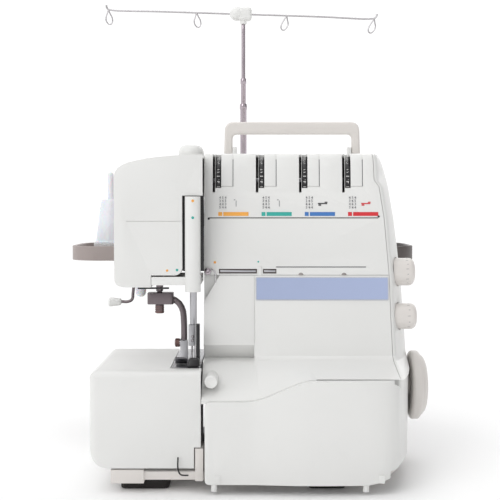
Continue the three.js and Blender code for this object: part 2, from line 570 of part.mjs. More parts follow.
function addArmCover() {
  const face = (inset) => {
    const shape = new THREE.Shape();
    shape.moveTo(ARM.left + 17, ARM.bottom + inset);
    shape.lineTo(ARM.right - inset, ARM.bottom + inset);
    shape.lineTo(ARM.right - inset, ARM.top - inset);
    shape.lineTo(ARM.left + 9, ARM.top - inset);
    shape.quadraticCurveTo(ARM.left + inset, ARM.top - inset, ARM.left + inset, ARM.top - 9);
    shape.lineTo(ARM.left + inset, ARM.bottom + 16);
    shape.quadraticCurveTo(ARM.left + inset + 3, ARM.bottom + inset, ARM.left + 17, ARM.bottom + inset);
    return shape;
  };
  const plan = (inset) => {
    const shape = new THREE.Shape();
    const back = ARM.back + (inset ? 5 : 0);
    shape.moveTo(ARM.left + inset, back);
    shape.lineTo(ARM.left + inset, ARM.front + 9);
    shape.quadraticCurveTo(ARM.left + inset, ARM.front + inset, ARM.left + 9 + inset, ARM.front + inset);
    shape.lineTo(ARM.right + (inset ? 5 : 0), ARM.front + inset);
    shape.lineTo(ARM.right + (inset ? 5 : 0), back);
    return shape;
  };
  const side = (inset) => {
    const shape = new THREE.Shape();
    shape.moveTo(ARM.front + inset, 0);
    shape.lineTo(ARM.front + inset, ARM.top - 9);
    shape.quadraticCurveTo(ARM.front + inset, ARM.top - inset, ARM.front + 9, ARM.top - inset);
    shape.lineTo(180, ARM.top - inset);
    shape.lineTo(180, 0);
    return alongX(shape, [-160, 0]);
  };
  const outer = alongZ(plan(0), [0, 120]).intersect(alongY(face(0), [0, 180])).intersect(side(0));
  const inner = alongZ(plan(WALL), [0, 120]).intersect(side(WALL)).intersect(join(
    alongY(face(WALL), [0, 180]), box([ARM.left + 17, 0], [0, 180], [0, 60]),
    box([-60, 0], [0, 180], [0, ARM.top - WALL])));
  const eyes = [30, 50].map((z) => join(
    box([ARM.left + 1, ARM_PIVOT.x], [ARM_PIVOT.y - 3, ARM_PIVOT.y + 3], [z, z + 6]),
    rodZ(5.6, [z, z + 6], ARM_PIVOT.x, ARM_PIVOT.y)));
  const bore = rodZ(3.5, [20, 70], ARM_PIVOT.x, ARM_PIVOT.y);
  const shell = cut(outer, inner,
    box([ARM.plate_right, -30], [30, 180], [90, 120]),
    box([-49, -30], [0, 30], [0, 40]));
  add('free_arm_cover', cut(join(shell, ...eyes), bore), WHITE);
}

// ---- controls -----------------------------------------------------------------------
function addControls() {
  const dial = ({ y, z, r, x: [inner, outer] }) => turnedX(
    [[0, inner], [r, inner], [r, outer - 4.6], [r - 1, outer - 2.4], [r - 3.6, outer - 0.8],
      [r - 7, outer], [0, outer]], y, z, 24);
  add('stitch_length_dial', dial(STITCH_DIAL), WARM);
  add('differential_feed_dial', dial(FEED_DIAL), WARM);
  SLOT_X.forEach((slot, i) => {
    const x = slot + DIAL.from_slot;
    add(`tension_dial_${i + 1}`, cut(
      rodX(DIAL.r, [x, x + DIAL.width], DIAL.y, DIAL.z, 30),
      rodX(3.4, [x - 1, x + 6], DIAL.y, DIAL.z, 12)), BLACK);
  });
  add('tension_axle', rodX(3, [-38, 112], DIAL.y, DIAL.z, 12), STEEL);
  add('pressure_knob', turnedZ([[0, 288], [5, 288], [5, 298.2], [12, 298.2], [12, 302], [11.2, 305],
    [9, 307.4], [5, 308.8], [0, 309.2]], -56, 110, 24), WHITE);

  const { y, z, left, right, leg, top, bar, depth } = HANDLE;
  const hoop = new THREE.Shape();
  hoop.moveTo(left, z - 4);
  hoop.lineTo(left + 0.8, top - 9);
  hoop.quadraticCurveTo(left + 1, top, left + 10, top);
  hoop.lineTo(right - 10, top);
  hoop.quadraticCurveTo(right - 1, top, right - 0.8, top - 9);
  hoop.lineTo(right, z - 4);
  hoop.lineTo(right - leg, z - 4);
  hoop.lineTo(right - leg, top - bar - 5);
  hoop.quadraticCurveTo(right - leg, top - bar, right - leg - 5, top - bar);
  hoop.lineTo(left + leg + 5, top - bar);
  hoop.quadraticCurveTo(left + leg, top - bar, left + leg, top - bar - 5);
  hoop.lineTo(left + leg, z - 4);
  add('carrying_handle', alongY(hoop, [y - depth / 2, y + depth / 2]), WARM);

  add('power_switch', alongY(outline([[147, 58.2], [154, 58.2], [152.6, 64], [155, 69.8], [147, 69.8]]),
    [162, 178]), BLACK);
  add('power_inlet', cut(
    box([141, 152.4], [159.6, 180.4], [30, 50]), box([146, 156], [162.4, 177.6], [33, 47])), BLACK);
}

// ---- thread stand -------------------------------------------------------------------
function addThreadStand() {
  const { left, right, front, back, bottom, floor, rim } = TRAY;
  const tray = cut(
    alongZ(roundedRect([left, right], [front, back], 34), [bottom, rim]),
    alongZ(roundedRect([left + 4, right - 4], [front + 4, back - 4], 30), [floor, rim + 1]));
  const stays = [-30, 90].map((x) => box([x, x + 20], [TOWER_BACK + GAP, front + 30], [184, bottom + 4]));
  const pins = PIN_X.map((x) => turnedZ(
    [[0, floor - 2], [3, floor - 2], [3, 284], [1.6, 287], [0, 287]], x, PIN_Y, 12));
  add('spool_tray', join(tray, ...stays, ...pins), TAUPE);
  PIN_X.forEach((x, i) => {
    add(`cone_holder_${i + 1}`, turnedZ([[3.4, floor + 0.3], [18.6, floor + 0.3], [18.6, floor + 6.6],
      [16.6, floor + 7], [10, 257], [3.4, 258], [3.4, floor + 0.3]], x, PIN_Y, 28), CLEAR);
  });

  const { x, y } = POLE;
  add('pole_lower_tube', join(
    ringZ(2.9, 3.4, [floor + 0.3, 359], x, y), ringZ(2.9, 9, [floor + 0.3, 216], x, y, 20)), STEEL);
  add('pole_middle_tube', ringZ(2.35, 2.7, [236, 386], x, y), STEEL);
  add('pole_top_rod', rodZ(2.1, [296, 443], x, y, 12), STEEL);

  const barZ = (at) => BAR_Z - (at - x) * BAR_DROP;
  const ends = [-152, 134.5];
  const hookAt = (end, inward) => [[end, y, barZ(end) + 5], [end + inward, y, barZ(end) + 1],
    [end + inward * 3, y, barZ(end + inward * 3)]];
  const level = [-140, -80, 0, 70, 124].map((at) => [at, y, barZ(at)]);
  const wire = tube([...hookAt(ends[0], 1), ...level, ...hookAt(ends[1], -1).reverse()], 1.1, 46, 3);
  const halfLoop = (at, lean, side) => tube([
    [at, y, barZ(at)], [at + lean * 0.25 + side * 1.5, y, barZ(at) - 4],
    [at + lean * 0.6 + side * 3.4, y, barZ(at) - 9.6], [at + lean + side * 2.2, y, barZ(at) - 14.2],
    [at + lean - side * 0.5, y, barZ(at) - 15.3]], 0.85, 9, 3);
  const loops = EYELET_X.flatMap((at, i) => [-1, 1].map((side) => halfLoop(at, LOOP_LEAN[i], side)));
  add('thread_guide_bar', join(wire, ...loops), STEEL);
  const head = join(
    solid(new THREE.SphereGeometry(1, 12, 8).scale(8, 6.5, 7.6).translate(-13.6, y, BAR_Z - 0.5)),
    alongY(roundedRect([-13, 2], [BAR_Z - 7.9, BAR_Z + 6.5], 5), [y - 5.5, y + 5.5]),
    rodZ(3.6, [443.3, BAR_Z - 5], x, y, 12));
  const barPath = tube([[-30, y, barZ(-30)], [0, y, barZ(0)], [20, y, barZ(20)]], 1.5, 2, 6);
  add('guide_bar_head', cut(head, barPath), WHITE);
}

addBase();
addCastings();
addDrive();
addTowerCovers();
addHead();
addNeedleParts();
addPresserParts();
addPlateParts();
addLooperCover();
addArmCover();
addControls();
addThreadStand();

// The box runs from the tray's left end to its right end, and from the looper cover to the tray's back.
machine.position.set(-(TRAY.left + TRAY.right) / 2, -TRAY.back / 2, 0);

export default machine;
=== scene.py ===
"""The finished surfaces of a four-thread overlock machine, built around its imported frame."""

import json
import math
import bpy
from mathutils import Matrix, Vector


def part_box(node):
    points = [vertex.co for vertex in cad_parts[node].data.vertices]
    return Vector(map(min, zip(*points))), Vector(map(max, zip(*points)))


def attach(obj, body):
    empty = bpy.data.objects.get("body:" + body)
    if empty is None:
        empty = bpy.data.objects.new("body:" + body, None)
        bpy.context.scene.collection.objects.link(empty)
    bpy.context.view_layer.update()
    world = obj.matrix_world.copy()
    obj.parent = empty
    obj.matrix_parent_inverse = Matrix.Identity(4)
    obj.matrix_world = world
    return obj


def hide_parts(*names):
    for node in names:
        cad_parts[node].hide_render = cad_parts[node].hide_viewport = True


bl_info = {
    "name": "Serger Overlock Machine",
    "version": (1, 0, 0),
    "blender": (4, 5, 0),
    "location": "3D View > Sidebar > Serger",
    "description": "Builds the covers, controls, needle parts and thread stand of an overlock machine",
    "category": "Object",
}

from contextlib import contextmanager

import bmesh
import bpy
from bpy.props import FloatProperty, FloatVectorProperty, PointerProperty
from mathutils import Vector

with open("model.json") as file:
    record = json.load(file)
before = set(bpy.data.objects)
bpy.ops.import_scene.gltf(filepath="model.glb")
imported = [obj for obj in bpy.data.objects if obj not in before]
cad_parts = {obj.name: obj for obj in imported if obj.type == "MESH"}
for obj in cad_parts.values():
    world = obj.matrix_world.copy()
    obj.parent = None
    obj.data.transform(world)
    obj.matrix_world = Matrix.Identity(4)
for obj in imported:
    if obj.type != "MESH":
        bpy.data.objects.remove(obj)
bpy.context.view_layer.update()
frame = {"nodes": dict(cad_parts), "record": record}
MM = 0.001
POLE_X = 1 * MM               # axis of the thread stand's pole
BAR_SLOPE = 0.032             # fall of the thread bar towards +X
CAMERA_X = 8 * MM
CAMERA_LENS = 79.9
CAMERA_DOWN = math.radians(2.33)
BODY_OF = {
    node: body
    for body, nodes in frame["record"]["behaviour"]["bodies"].items()
    for node in nodes
}
SLOT_OF = {row["node"]: row["material_slot"] for row in frame["record"]["subparts"]}


# ---- sizes and colours --------------------------------------------------------------
def colour_property(name, description, default):
    return FloatVectorProperty(
        name=name, description=description, default=default, subtype="COLOR", size=3, min=0, max=1)


def length_property(name, description, default):
    return FloatProperty(
        name=name, description=description, default=default, unit="LENGTH", subtype="DISTANCE", min=0)


class SergerColours(bpy.types.PropertyGroup):
    shell: colour_property("Shell", "Off-white of the covers", (0.80, 0.80, 0.785))
    warm: colour_property("Controls", "Warm grey of the handwheel, dials and handle", (0.745, 0.71, 0.68))
    tray: colour_property("Tray", "Mauve brown of the spool tray", (0.150, 0.128, 0.122))
    label: colour_property("Label", "Pale blue of the label strip", (0.40, 0.47, 0.68))
    left_needle: colour_property("Left needle", "Thread mark of the left needle", (0.90, 0.42, 0.08))
    right_needle: colour_property("Right needle", "Thread mark of the right needle", (0.04, 0.42, 0.36))
    upper_looper: colour_property("Upper looper", "Thread mark of the upper looper", (0.06, 0.20, 0.52))
    lower_looper: colour_property("Lower looper", "Thread mark of the lower looper", (0.68, 0.03, 0.04))
    ink: colour_property("Ink", "Printed figures and pictures", (0.03, 0.03, 0.035))


class SergerSizes(bpy.types.PropertyGroup):
    cover_edge: length_property("Cover edge", "Rounding along the edges of the covers", 1.1 * MM)
    arm_edge: length_property("Arm edge", "Rounding along the edges of the arm and looper covers", 1.2 * MM)
    small_edge: length_property("Small edge", "Rounding along the edges of small pieces", 0.4 * MM)
    print_depth: length_property("Print", "How far a printed mark stands proud", 0.1 * MM)
    mark_height: length_property("Colour mark", "Height of a colour mark under a dial", 3.6 * MM)
    figure_height: length_property("Figures", "Height of a figure on a tension dial", 5.0 * MM)
    camera_distance: length_property("Camera", "Camera's distance in front of the looper cover", 0.950)
    camera_height: length_property("Camera height", "Camera's height above the table", 0.252)


def colours():
    return bpy.context.scene.serger_colours


def sizes():
    return bpy.context.scene.serger_sizes


# ---- finishes -----------------------------------------------------------------------
class Value:
    """A node's output, which can be used in arithmetic."""

    def __init__(self, finish, socket):
        self.finish = finish
        self.socket = socket

    def _math(self, operation, first, second):
        return self.finish.node("ShaderNodeMath", {"operation": operation}, {0: first, 1: second})

    def __add__(self, other):
        return self._math("ADD", self, other)

    def __radd__(self, other):
        return self._math("ADD", other, self)

    def __sub__(self, other):
        return self._math("SUBTRACT", self, other)

    def __rsub__(self, other):
        return self._math("SUBTRACT", other, self)

    def __mul__(self, other):
        return self._math("MULTIPLY", self, other)

    def __rmul__(self, other):
        return self._math("MULTIPLY", other, self)

    def __gt__(self, other):
        return self._math("GREATER_THAN", self, other)


class Graph:
    """A node tree whose nodes come from node()."""

    def __init__(self, tree):
        self.tree = tree

    def node(self, kind, settings=None, inputs=None, output=0):
        made = self.tree.nodes.new(kind)
        for key, value in (settings or {}).items():
            setattr(made, key, value)
        for key, value in (inputs or {}).items():
            self._feed(made.inputs[key], value)
        return Value(self, made.outputs[output])

    def _feed(self, socket, value):
        if isinstance(value, Value):
            self.tree.links.new(value.socket, socket)
        else:
            socket.default_value = value

    def rising(self, value, start, end):
        return self.node("ShaderNodeMapRange", inputs={"Value": value, "From Min": start, "From Max": end})

    def part(self, vector, axis):
        return self.node("ShaderNodeSeparateXYZ", inputs={"Vector": vector}, output=axis)


class Finish(Graph):
    """A material whose shader takes constants by name and links through feed()."""

    def __init__(self, name, **constants):
        self.material = bpy.data.materials.new(name)
        self.material.use_nodes = True
        super().__init__(self.material.node_tree)
        self.shader = self.tree.nodes["Principled BSDF"]
        for socket, value in constants.items():
            self.shader.inputs[socket.replace("_", " ")].default_value = value

    def feed(self, **links):
        for socket, value in links.items():
            self._feed(self.shader.inputs[socket.replace("_", " ")], value)

    def place(self, stretch=(1, 1, 1)):
        at = self.node("ShaderNodeTexCoord", output="Object")
        if stretch == (1, 1, 1):
            return at
        return self.node("ShaderNodeMapping", inputs={"Vector": at, "Scale": stretch})

    def noise(self, scale, detail=3, stretch=(1, 1, 1), roughness=0.5):
        return self.node("ShaderNodeTexNoise", inputs={
            "Vector": self.place(stretch), "Scale": scale, "Detail": detail, "Roughness": roughness})

    def mix(self, amount, first, second):
        return self.node("ShaderNodeMix", {"data_type": "RGBA"}, {0: amount, 6: first, 7: second}, 2)

    def bump(self, height, strength, distance):
        return self.node("ShaderNodeBump", inputs={
            "Height": height, "Strength": strength, "Distance": distance})


def shade(colour, factor):
    return tuple(min(1.0, c * factor) for c in colour[:3]) + (1.0,)


def moulded_plastic(name, colour, roughness, grain, coat=0.0):
    """Injection-moulded plastic: a spark-eroded grain, faint clouding and handling marks."""
    finish = Finish(name, IOR=1.48, Coat_Roughness=0.18)
    clouds = finish.noise(9, 4)
    handled = finish.noise(46, 5, roughness=0.62)
    pits = finish.noise(1500, 2)
    body = finish.mix(clouds, shade(colour, 0.955), shade(colour, 1.035))
    worn = (handled > 0.63) * 0.05
    finish.feed(
        Base_Color=finish.mix(worn, body, shade(colour, 0.84)),
        Roughness=roughness + (handled - 0.5) * 0.16 + (clouds - 0.5) * 0.06,
        Coat_Weight=coat + (clouds - 0.5) * (coat * 0.3),
        Normal=finish.bump(pits + handled * 0.4, grain, 0.0002))
    return finish.material


def tray_plastic(name, colour):
    """The tray's brown plastic, with painted light making it lighter towards its left end."""
    finish = Finish(name, IOR=1.48)
    clouds = finish.noise(12, 4)
    pits = finish.noise(1500, 2)
    # Painted light: the tray grows lighter towards its left end, the side the light falls from.
    painted_light_leftwards = finish.rising(finish.part(finish.place(), "X") + (clouds - 0.5) * 0.06, 0.16, -0.2)
    finish.feed(
        Base_Color=finish.mix(painted_light_leftwards, shade(colour, 0.75), shade(colour, 2.5)),
        Roughness=0.36 + clouds * 0.12,
        Normal=finish.bump(pits, 0.2, 0.0002))
    return finish.material


def rubber(name):
    finish = Finish(name, IOR=1.45)
    dust = finish.noise(60, 5, roughness=0.7)
    pores = finish.noise(1900, 3)
    finish.feed(
        Base_Color=finish.mix(dust, (0.011, 0.010, 0.010, 1), (0.045, 0.040, 0.038, 1)),
        Roughness=0.66 + dust * 0.22,
        Normal=finish.bump(pores, 0.35, 0.0002))
    return finish.material


def plated_steel(name, colour, roughness, stretch=(1, 1, 1)):
    """Bright plating with fine scratches and a few dull patches."""
    finish = Finish(name, Metallic=1.0)
    scratches = finish.noise(2400, 2, stretch)
    patches = finish.noise(70, 4, roughness=0.6)
    finish.feed(
        Base_Color=finish.mix(patches, shade(colour, 0.82), shade(colour, 1.12)),
        Roughness=roughness + scratches * 0.09 + patches * patches * 0.16,
        Normal=finish.bump(scratches, 0.08, 0.0001))
    return finish.material


def die_casting(name, colour):
    finish = Finish(name, Metallic=0.85)
    skin = finish.noise(420, 5, roughness=0.65)
    flow = finish.noise(24, 4)
    finish.feed(
        Base_Color=finish.mix(flow, shade(colour, 0.78), shade(colour, 1.05)),
        Roughness=0.42 + skin * 0.24,
        Normal=finish.bump(skin, 0.35, 0.0004))
    return finish.material


def milky_plastic(name, colour):
    finish = Finish(name, IOR=1.5, Subsurface_Weight=0.25, Subsurface_Scale=0.01)
    clouds = finish.noise(40, 4)
    finish.feed(
        Base_Color=finish.mix(clouds, shade(colour, 0.93), shade(colour, 1.05)),
        Roughness=0.2 + clouds * 0.16,
        Normal=finish.bump(clouds, 0.1, 0.0004))
    return finish.material


def foam(name):
    finish = Finish(name, IOR=1.4, Sheen_Weight=0.3)
    cells = finish.node("ShaderNodeTexVoronoi", inputs={"Vector": finish.place(), "Scale": 900})
    finish.feed(
        Base_Color=finish.mix(cells, (0.52, 0.52, 0.53, 1), (0.76, 0.76, 0.76, 1)),
        Roughness=0.84 + cells * 0.1,
        Normal=finish.bump(cells, 0.8, 0.0006))
    return finish.material


def printed_ink(name, colour):
    """Pad-printed ink, slightly uneven at its edges."""
    finish = Finish(name, IOR=1.5)
    cover = finish.noise(700, 3)
    finish.feed(
        Base_Color=finish.mix(cover, shade(colour, 0.86), shade(colour, 1.10)),
        Roughness=0.38 + cover * 0.16,
        Normal=finish.bump(cover, 0.1, 0.0001))
    return finish.material


def label_film(name, colour):
    """A glossy film label, paler towards its right end."""
    finish = Finish(name, IOR=1.5, Coat_Roughness=0.08)
    along = finish.part(finish.place(), "X")
    fibres = finish.noise(260, 3, (1, 1, 8))
    fade = along * 2.6 + (fibres - 0.5) * 0.25
    finish.feed(
        Base_Color=finish.mix(fade, shade(colour, 0.95), shade(colour, 1.14)),
        Roughness=0.3 + fibres * 0.1,
        Coat_Weight=0.3 + fibres * 0.1,
        Normal=finish.bump(fibres, 0.05, 0.0001))
    return finish.material


FINISHES = {
    "shell": lambda: moulded_plastic("shell_white", colours().shell, 0.36, 0.10, 0.14),
    "warm_plastic": lambda: moulded_plastic("warm_grey_plastic", colours().warm, 0.42, 0.16, 0.08),
    "tray_plastic": lambda: tray_plastic("tray_brown_plastic", colours().tray),
    "black_plastic": lambda: moulded_plastic("black_plastic", (0.014, 0.013, 0.015), 0.36, 0.14, 0.10),
    "rubber": lambda: rubber("black_rubber"),
    "steel": lambda: plated_steel("ground_steel", (0.50, 0.50, 0.52), 0.24, (1, 14, 1)),
    "chrome": lambda: plated_steel("bright_plating", (0.60, 0.585, 0.60), 0.13),
    "dark_chrome": lambda: plated_steel("dark_plating", (0.50, 0.44, 0.48), 0.12),
    "gunmetal": lambda: plated_steel("dark_steel", (0.20, 0.17, 0.18), 0.26),
    "umber_metal": lambda: plated_steel("burnished_steel", (0.22, 0.14, 0.13), 0.30),
    "cast_aluminium": lambda: die_casting("bead_blasted_casting", (0.46, 0.46, 0.48)),
    "clear_plastic": lambda: milky_plastic("milky_plastic", (0.80, 0.83, 0.88)),
    "foam": lambda: foam("white_foam"),
    "ink": lambda: printed_ink("black_ink", colours().ink),
    "pale_ink": lambda: printed_ink("white_ink", (0.86, 0.86, 0.84)),
    # Umber: painted shade on the floors of the slits.
    "slit_shade_umber": lambda: printed_ink("painted_slit_shade", (0.10, 0.075, 0.07)),
    "grey_label": lambda: printed_ink("label_rim_grey", (0.60, 0.61, 0.66)),
    # Grey: painted shade for the guide posts.
    "painted_shade_grey": lambda: moulded_plastic("painted_shade_grey", (0.30, 0.28, 0.27), 0.40, 0.12),
    # Grey: printed marks, and painted shade on the floors of grooves.
    "grey_ink_and_groove_shade": lambda: printed_ink("grey_ink_and_groove_shade", (0.17, 0.17, 0.19)),
    "label": lambda: label_film("blue_label_film", colours().label),
    "left_needle": lambda: printed_ink("orange_ink", colours().left_needle),
    "right_needle": lambda: printed_ink("green_ink", colours().right_needle),
    "upper_looper": lambda: printed_ink("blue_ink", colours().upper_looper),
    "lower_looper": lambda: printed_ink("red_ink", colours().lower_looper),
}
_made = {}


def material(kind):
    if kind not in _made:
        _made[kind] = FINISHES[kind]()
    return _made[kind]


# ---- modelling by hand --------------------------------------------------------------
def deselect():
    bpy.ops.object.select_all(action="DESELECT")


def pick_all():
    bpy.ops.mesh.select_all(action="SELECT")


def focus(piece):
    """Leaves only this piece selected, and active."""
    deselect()
    piece.select_set(True)
    bpy.context.view_layer.objects.active = piece


@contextmanager
def editing(piece):
    focus(piece)
    bpy.ops.object.mode_set(mode="EDIT")
    bpy.ops.mesh.select_mode(type="FACE")
    yield
    bpy.ops.object.mode_set(mode="OBJECT")


def pick_faces(piece, wanted):
    """Selects the faces whose centre and normal pass the test."""
    bpy.ops.mesh.select_all(action="DESELECT")
    mesh = bmesh.from_edit_mesh(piece.data)
    for face in mesh.faces:
        face.select_set(wanted(face.calc_center_median(), face.normal))
    bmesh.update_edit_mesh(piece.data)


def added(name):
    piece = bpy.context.active_object
    piece.name = name
    piece.data.name = name
    return piece


def apply_place(piece):
    focus(piece)
    bpy.ops.object.transform_apply(location=True, rotation=True, scale=True)


def apply_modifier(piece, kind, **settings):
    modifier = piece.modifiers.new(kind.lower(), kind)
    for key, value in settings.items():
        setattr(modifier, key, value)
    focus(piece)
    bpy.ops.object.modifier_apply(modifier=modifier.name)


def round_edges(piece, width, segments=3, angle=30):
    apply_modifier(piece, "BEVEL", width=width, segments=segments, limit_method="ANGLE",
                   angle_limit=math.radians(angle), use_clamp_overlap=True, miter_outer="MITER_ARC")


def block(name, low, high):
    """A block between two corners, ready to be shaped."""
    deselect()
    low, high = Vector(low), Vector(high)
    bpy.ops.mesh.primitive_cube_add(size=1, location=(low + high) / 2)
    piece = added(name)
    piece.scale = high - low
    apply_place(piece)
    return piece


def scaled(profile, across=MM, along=MM):
    """The points of a profile in metres."""
    return [(radius * across, height * along) for radius, height in profile]


def beside(corner, x, y, z):
    """A place so many millimetres from a corner."""
    return (corner.x + x * MM, corner.y + y * MM, corner.z + z * MM)


AXIS_TURN = {"Z": (0, 0, 0), "X": (0, math.pi / 2, 0), "Y": (-math.pi / 2, 0, 0)}


def turned(name, profile, at, axis="Z", sides=72):
    """A turned piece: a disc drawn out through [radius, height] steps along an axis."""
    deselect()
    radius, height = profile[0]
    bpy.ops.mesh.primitive_circle_add(
        vertices=sides, radius=radius, fill_type="NGON", location=(0, 0, height))
    piece = added(name)
    apply_place(piece)
    with editing(piece):
        pick_all()
        for wider, higher in profile[1:]:
            bpy.ops.mesh.extrude_region_move(
                TRANSFORM_OT_translate={"value": (0, 0, higher - height)})
            bpy.ops.transform.resize(
                value=(wider / radius, wider / radius, 1), center_override=(0, 0, higher))
            radius, height = wider, higher
        pick_all()
        bpy.ops.mesh.remove_doubles(threshold=1e-6)
        bpy.ops.mesh.normals_make_consistent(inside=False)
    piece.rotation_euler = AXIS_TURN[axis]
    piece.location = at
    apply_place(piece)
    return piece


def wire(name, points, radius):
    """A round wire along a smooth line through the points, as a mesh."""
    curve = bpy.data.curves.new(name, "CURVE")
    curve.dimensions = "3D"
    curve.bevel_depth = radius
    curve.bevel_resolution = 3
    curve.use_fill_caps = True
    spline = curve.splines.new("BEZIER")
    spline.bezier_points.add(len(points) - 1)
    spline.resolution_u = 6
    for knot, point in zip(spline.bezier_points, points):
        knot.co = point
        knot.handle_left_type = knot.handle_right_type = "AUTO"
    piece = bpy.data.objects.new(name, curve)
    bpy.context.scene.collection.objects.link(piece)
    focus(piece)
    bpy.ops.object.convert(target="MESH")
    return added(name)


def joined(name, pieces):
    focus(pieces[0])
    for piece in pieces[1:]:
        piece.select_set(True)
    bpy.ops.object.join()
    return added(name)


def done(piece, kind, body="root", replaces=(), smooth=32):
    """Gives a finished piece its shading, material and body."""
    apply_place(piece)
    bpy.ops.object.shade_smooth_by_angle(angle=math.radians(smooth))
    piece.data.materials.clear()
    piece.data.materials.append(material(kind))
    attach(piece, body)
    if replaces:
        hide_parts(*replaces)
    return piece


def refined(node, width, kind=None, segments=3):
    """A copy of a frame node with clean faces and rounded edges, which stands for it."""
    source = frame["nodes"][node]
    piece = source.copy()
    piece.data = source.data.copy()
    piece.name = f"{node}_shell"
    bpy.context.scene.collection.objects.link(piece)
    with editing(piece):
        pick_all()
        bpy.ops.mesh.remove_doubles(threshold=1e-6)
        bpy.ops.mesh.dissolve_limited(angle_limit=math.radians(0.6))
    if width:
        round_edges(piece, width, segments)
        apply_modifier(piece, "WEIGHTED_NORMAL", keep_sharp=True)
    slot = SLOT_OF[node]
    return done(piece, kind or slot, BODY_OF[node], (node,))


def printed(name, piece, target, kind, body="root", depth=None):
    """Lays a flat piece, drawn in front of a cover, onto its face as a thin print."""
    depth = depth or sizes().print_depth
    apply_modifier(piece, "SHRINKWRAP", target=target, wrap_method="PROJECT", use_project_y=True,
                   use_positive_direction=True, use_negative_direction=False, offset=depth)
    apply_modifier(piece, "SOLIDIFY", thickness=depth * 1.6, offset=1.0, use_even_offset=True)
    with editing(piece):
        pick_all()
        bpy.ops.mesh.normals_make_consistent(inside=False)
    piece.name = name
    return done(piece, kind, body)


def flat_patch(name, left, right, bottom, top, front, cuts=6, corner=0.0):
    """A flat patch facing -Y, subdivided so that it can follow a curved cover."""
    deselect()
    bpy.ops.mesh.primitive_plane_add(size=1, location=(0, 0, 0))
    piece = added(name)
    piece.rotation_euler = (math.pi / 2, 0, 0)
    piece.scale = (right - left, top - bottom, 1)
    piece.location = ((left + right) / 2, front, (bottom + top) / 2)
    apply_place(piece)
    with editing(piece):
        pick_all()
        if corner:
            bpy.ops.mesh.bevel(offset=corner, segments=5, affect="VERTICES")
            pick_all()
        bpy.ops.mesh.quads_convert_to_tris()
        bpy.ops.mesh.subdivide(number_cuts=cuts)
    return piece


def disc(at, radius):
    """A flat disc facing -Y."""
    deselect()
    bpy.ops.mesh.primitive_circle_add(
        vertices=24, radius=radius, fill_type="TRIFAN", location=at, rotation=(math.pi / 2, 0, 0))
    piece = added("disc")
    apply_place(piece)
    return piece


def figures(name, text, height, at, turn=(math.pi / 2, 0, 0), gap=1.0):
    """Plain figures as a flat mesh."""
    deselect()
    bpy.ops.object.text_add(location=(0, 0, 0))
    piece = bpy.context.active_object
    piece.data.body = text
    piece.data.size = height
    piece.data.space_line = gap
    piece.data.align_x = "CENTER"
    piece.data.align_y = "CENTER"
    piece.data.resolution_u = 2
    focus(piece)
    bpy.ops.object.convert(target="MESH")
    piece = added(name)
    piece.rotation_euler = turn
    piece.location = at
    apply_place(piece)
    return piece


# ---- pieces -------------------------------------------------------------------------
class SergerPiece:
    """What the operators of the pieces have in common."""

    bl_options = {"REGISTER", "UNDO"}

    def execute(self, context):
        self.make()
        return {"FINISHED"}


class SERGER_OT_tower_covers(SergerPiece, bpy.types.Operator):
    """The shells of the tower, with rounded edges"""

    bl_idname = "serger.tower_covers"
    bl_label = "Tower covers"

    def make(self):
        for node in ("lower_front_cover", "tension_cover", "top_cover", "right_side_cover"):
            refined(node, sizes().small_edge * 1.5)
        refined("rear_cover", sizes().cover_edge)


class SERGER_OT_head_covers(SergerPiece, bpy.types.Operator):
    """The face cover, the thread column and the lamp lens"""

    bl_idname = "serger.head_covers"
    bl_label = "Head covers"

    def make(self):
        refined("face_cover", sizes().cover_edge)
        refined("thread_column_cover", sizes().small_edge * 2)
        refined("lamp_lens", sizes().small_edge)


class SERGER_OT_opening_covers(SergerPiece, bpy.types.Operator):
    """The looper cover, its hinge rod and the free-arm cover"""

    bl_idname = "serger.opening_covers"
    bl_label = "Looper and arm covers"

    def make(self):
        refined("looper_cover", sizes().arm_edge, segments=4)
        refined("free_arm_cover", sizes().arm_edge, segments=4)
        refined("looper_cover_rod", sizes().small_edge)


class SERGER_OT_base(SergerPiece, bpy.types.Operator):
    """The base plate and its rubber feet"""

    bl_idname = "serger.base"
    bl_label = "Base and feet"

    def make(self):
        refined("base_plate", sizes().small_edge * 2)
        for corner in ("front_left", "front_right", "rear_left", "rear_right"):
            refined(f"foot_{corner}", sizes().cover_edge)


class SERGER_OT_inner_works(SergerPiece, bpy.types.Operator):
    """Castings, bearings, shaft, motor, belt, loopers and knives"""

    bl_idname = "serger.inner_works"
    bl_label = "Inner works"

    def make(self):
        for node in ("bed_casting", "head_casting", "drive_motor"):
            refined(node, sizes().small_edge * 2)
        for node in ("main_bearing_left", "main_bearing_right", "main_shaft", "motor_pulley",
                     "drive_belt", "tension_axle", "upper_looper", "lower_looper",
                     "upper_knife", "lower_knife", "feed_dog", "needle_plate"):
            refined(node, sizes().small_edge * 0.6, segments=2)


class SERGER_OT_sockets(SergerPiece, bpy.types.Operator):
    """The power switch and the lead's inlet"""

    bl_idname = "serger.sockets"
    bl_label = "Switch and inlet"

    def make(self):
        refined("power_switch", sizes().small_edge)
        refined("power_inlet", sizes().small_edge)


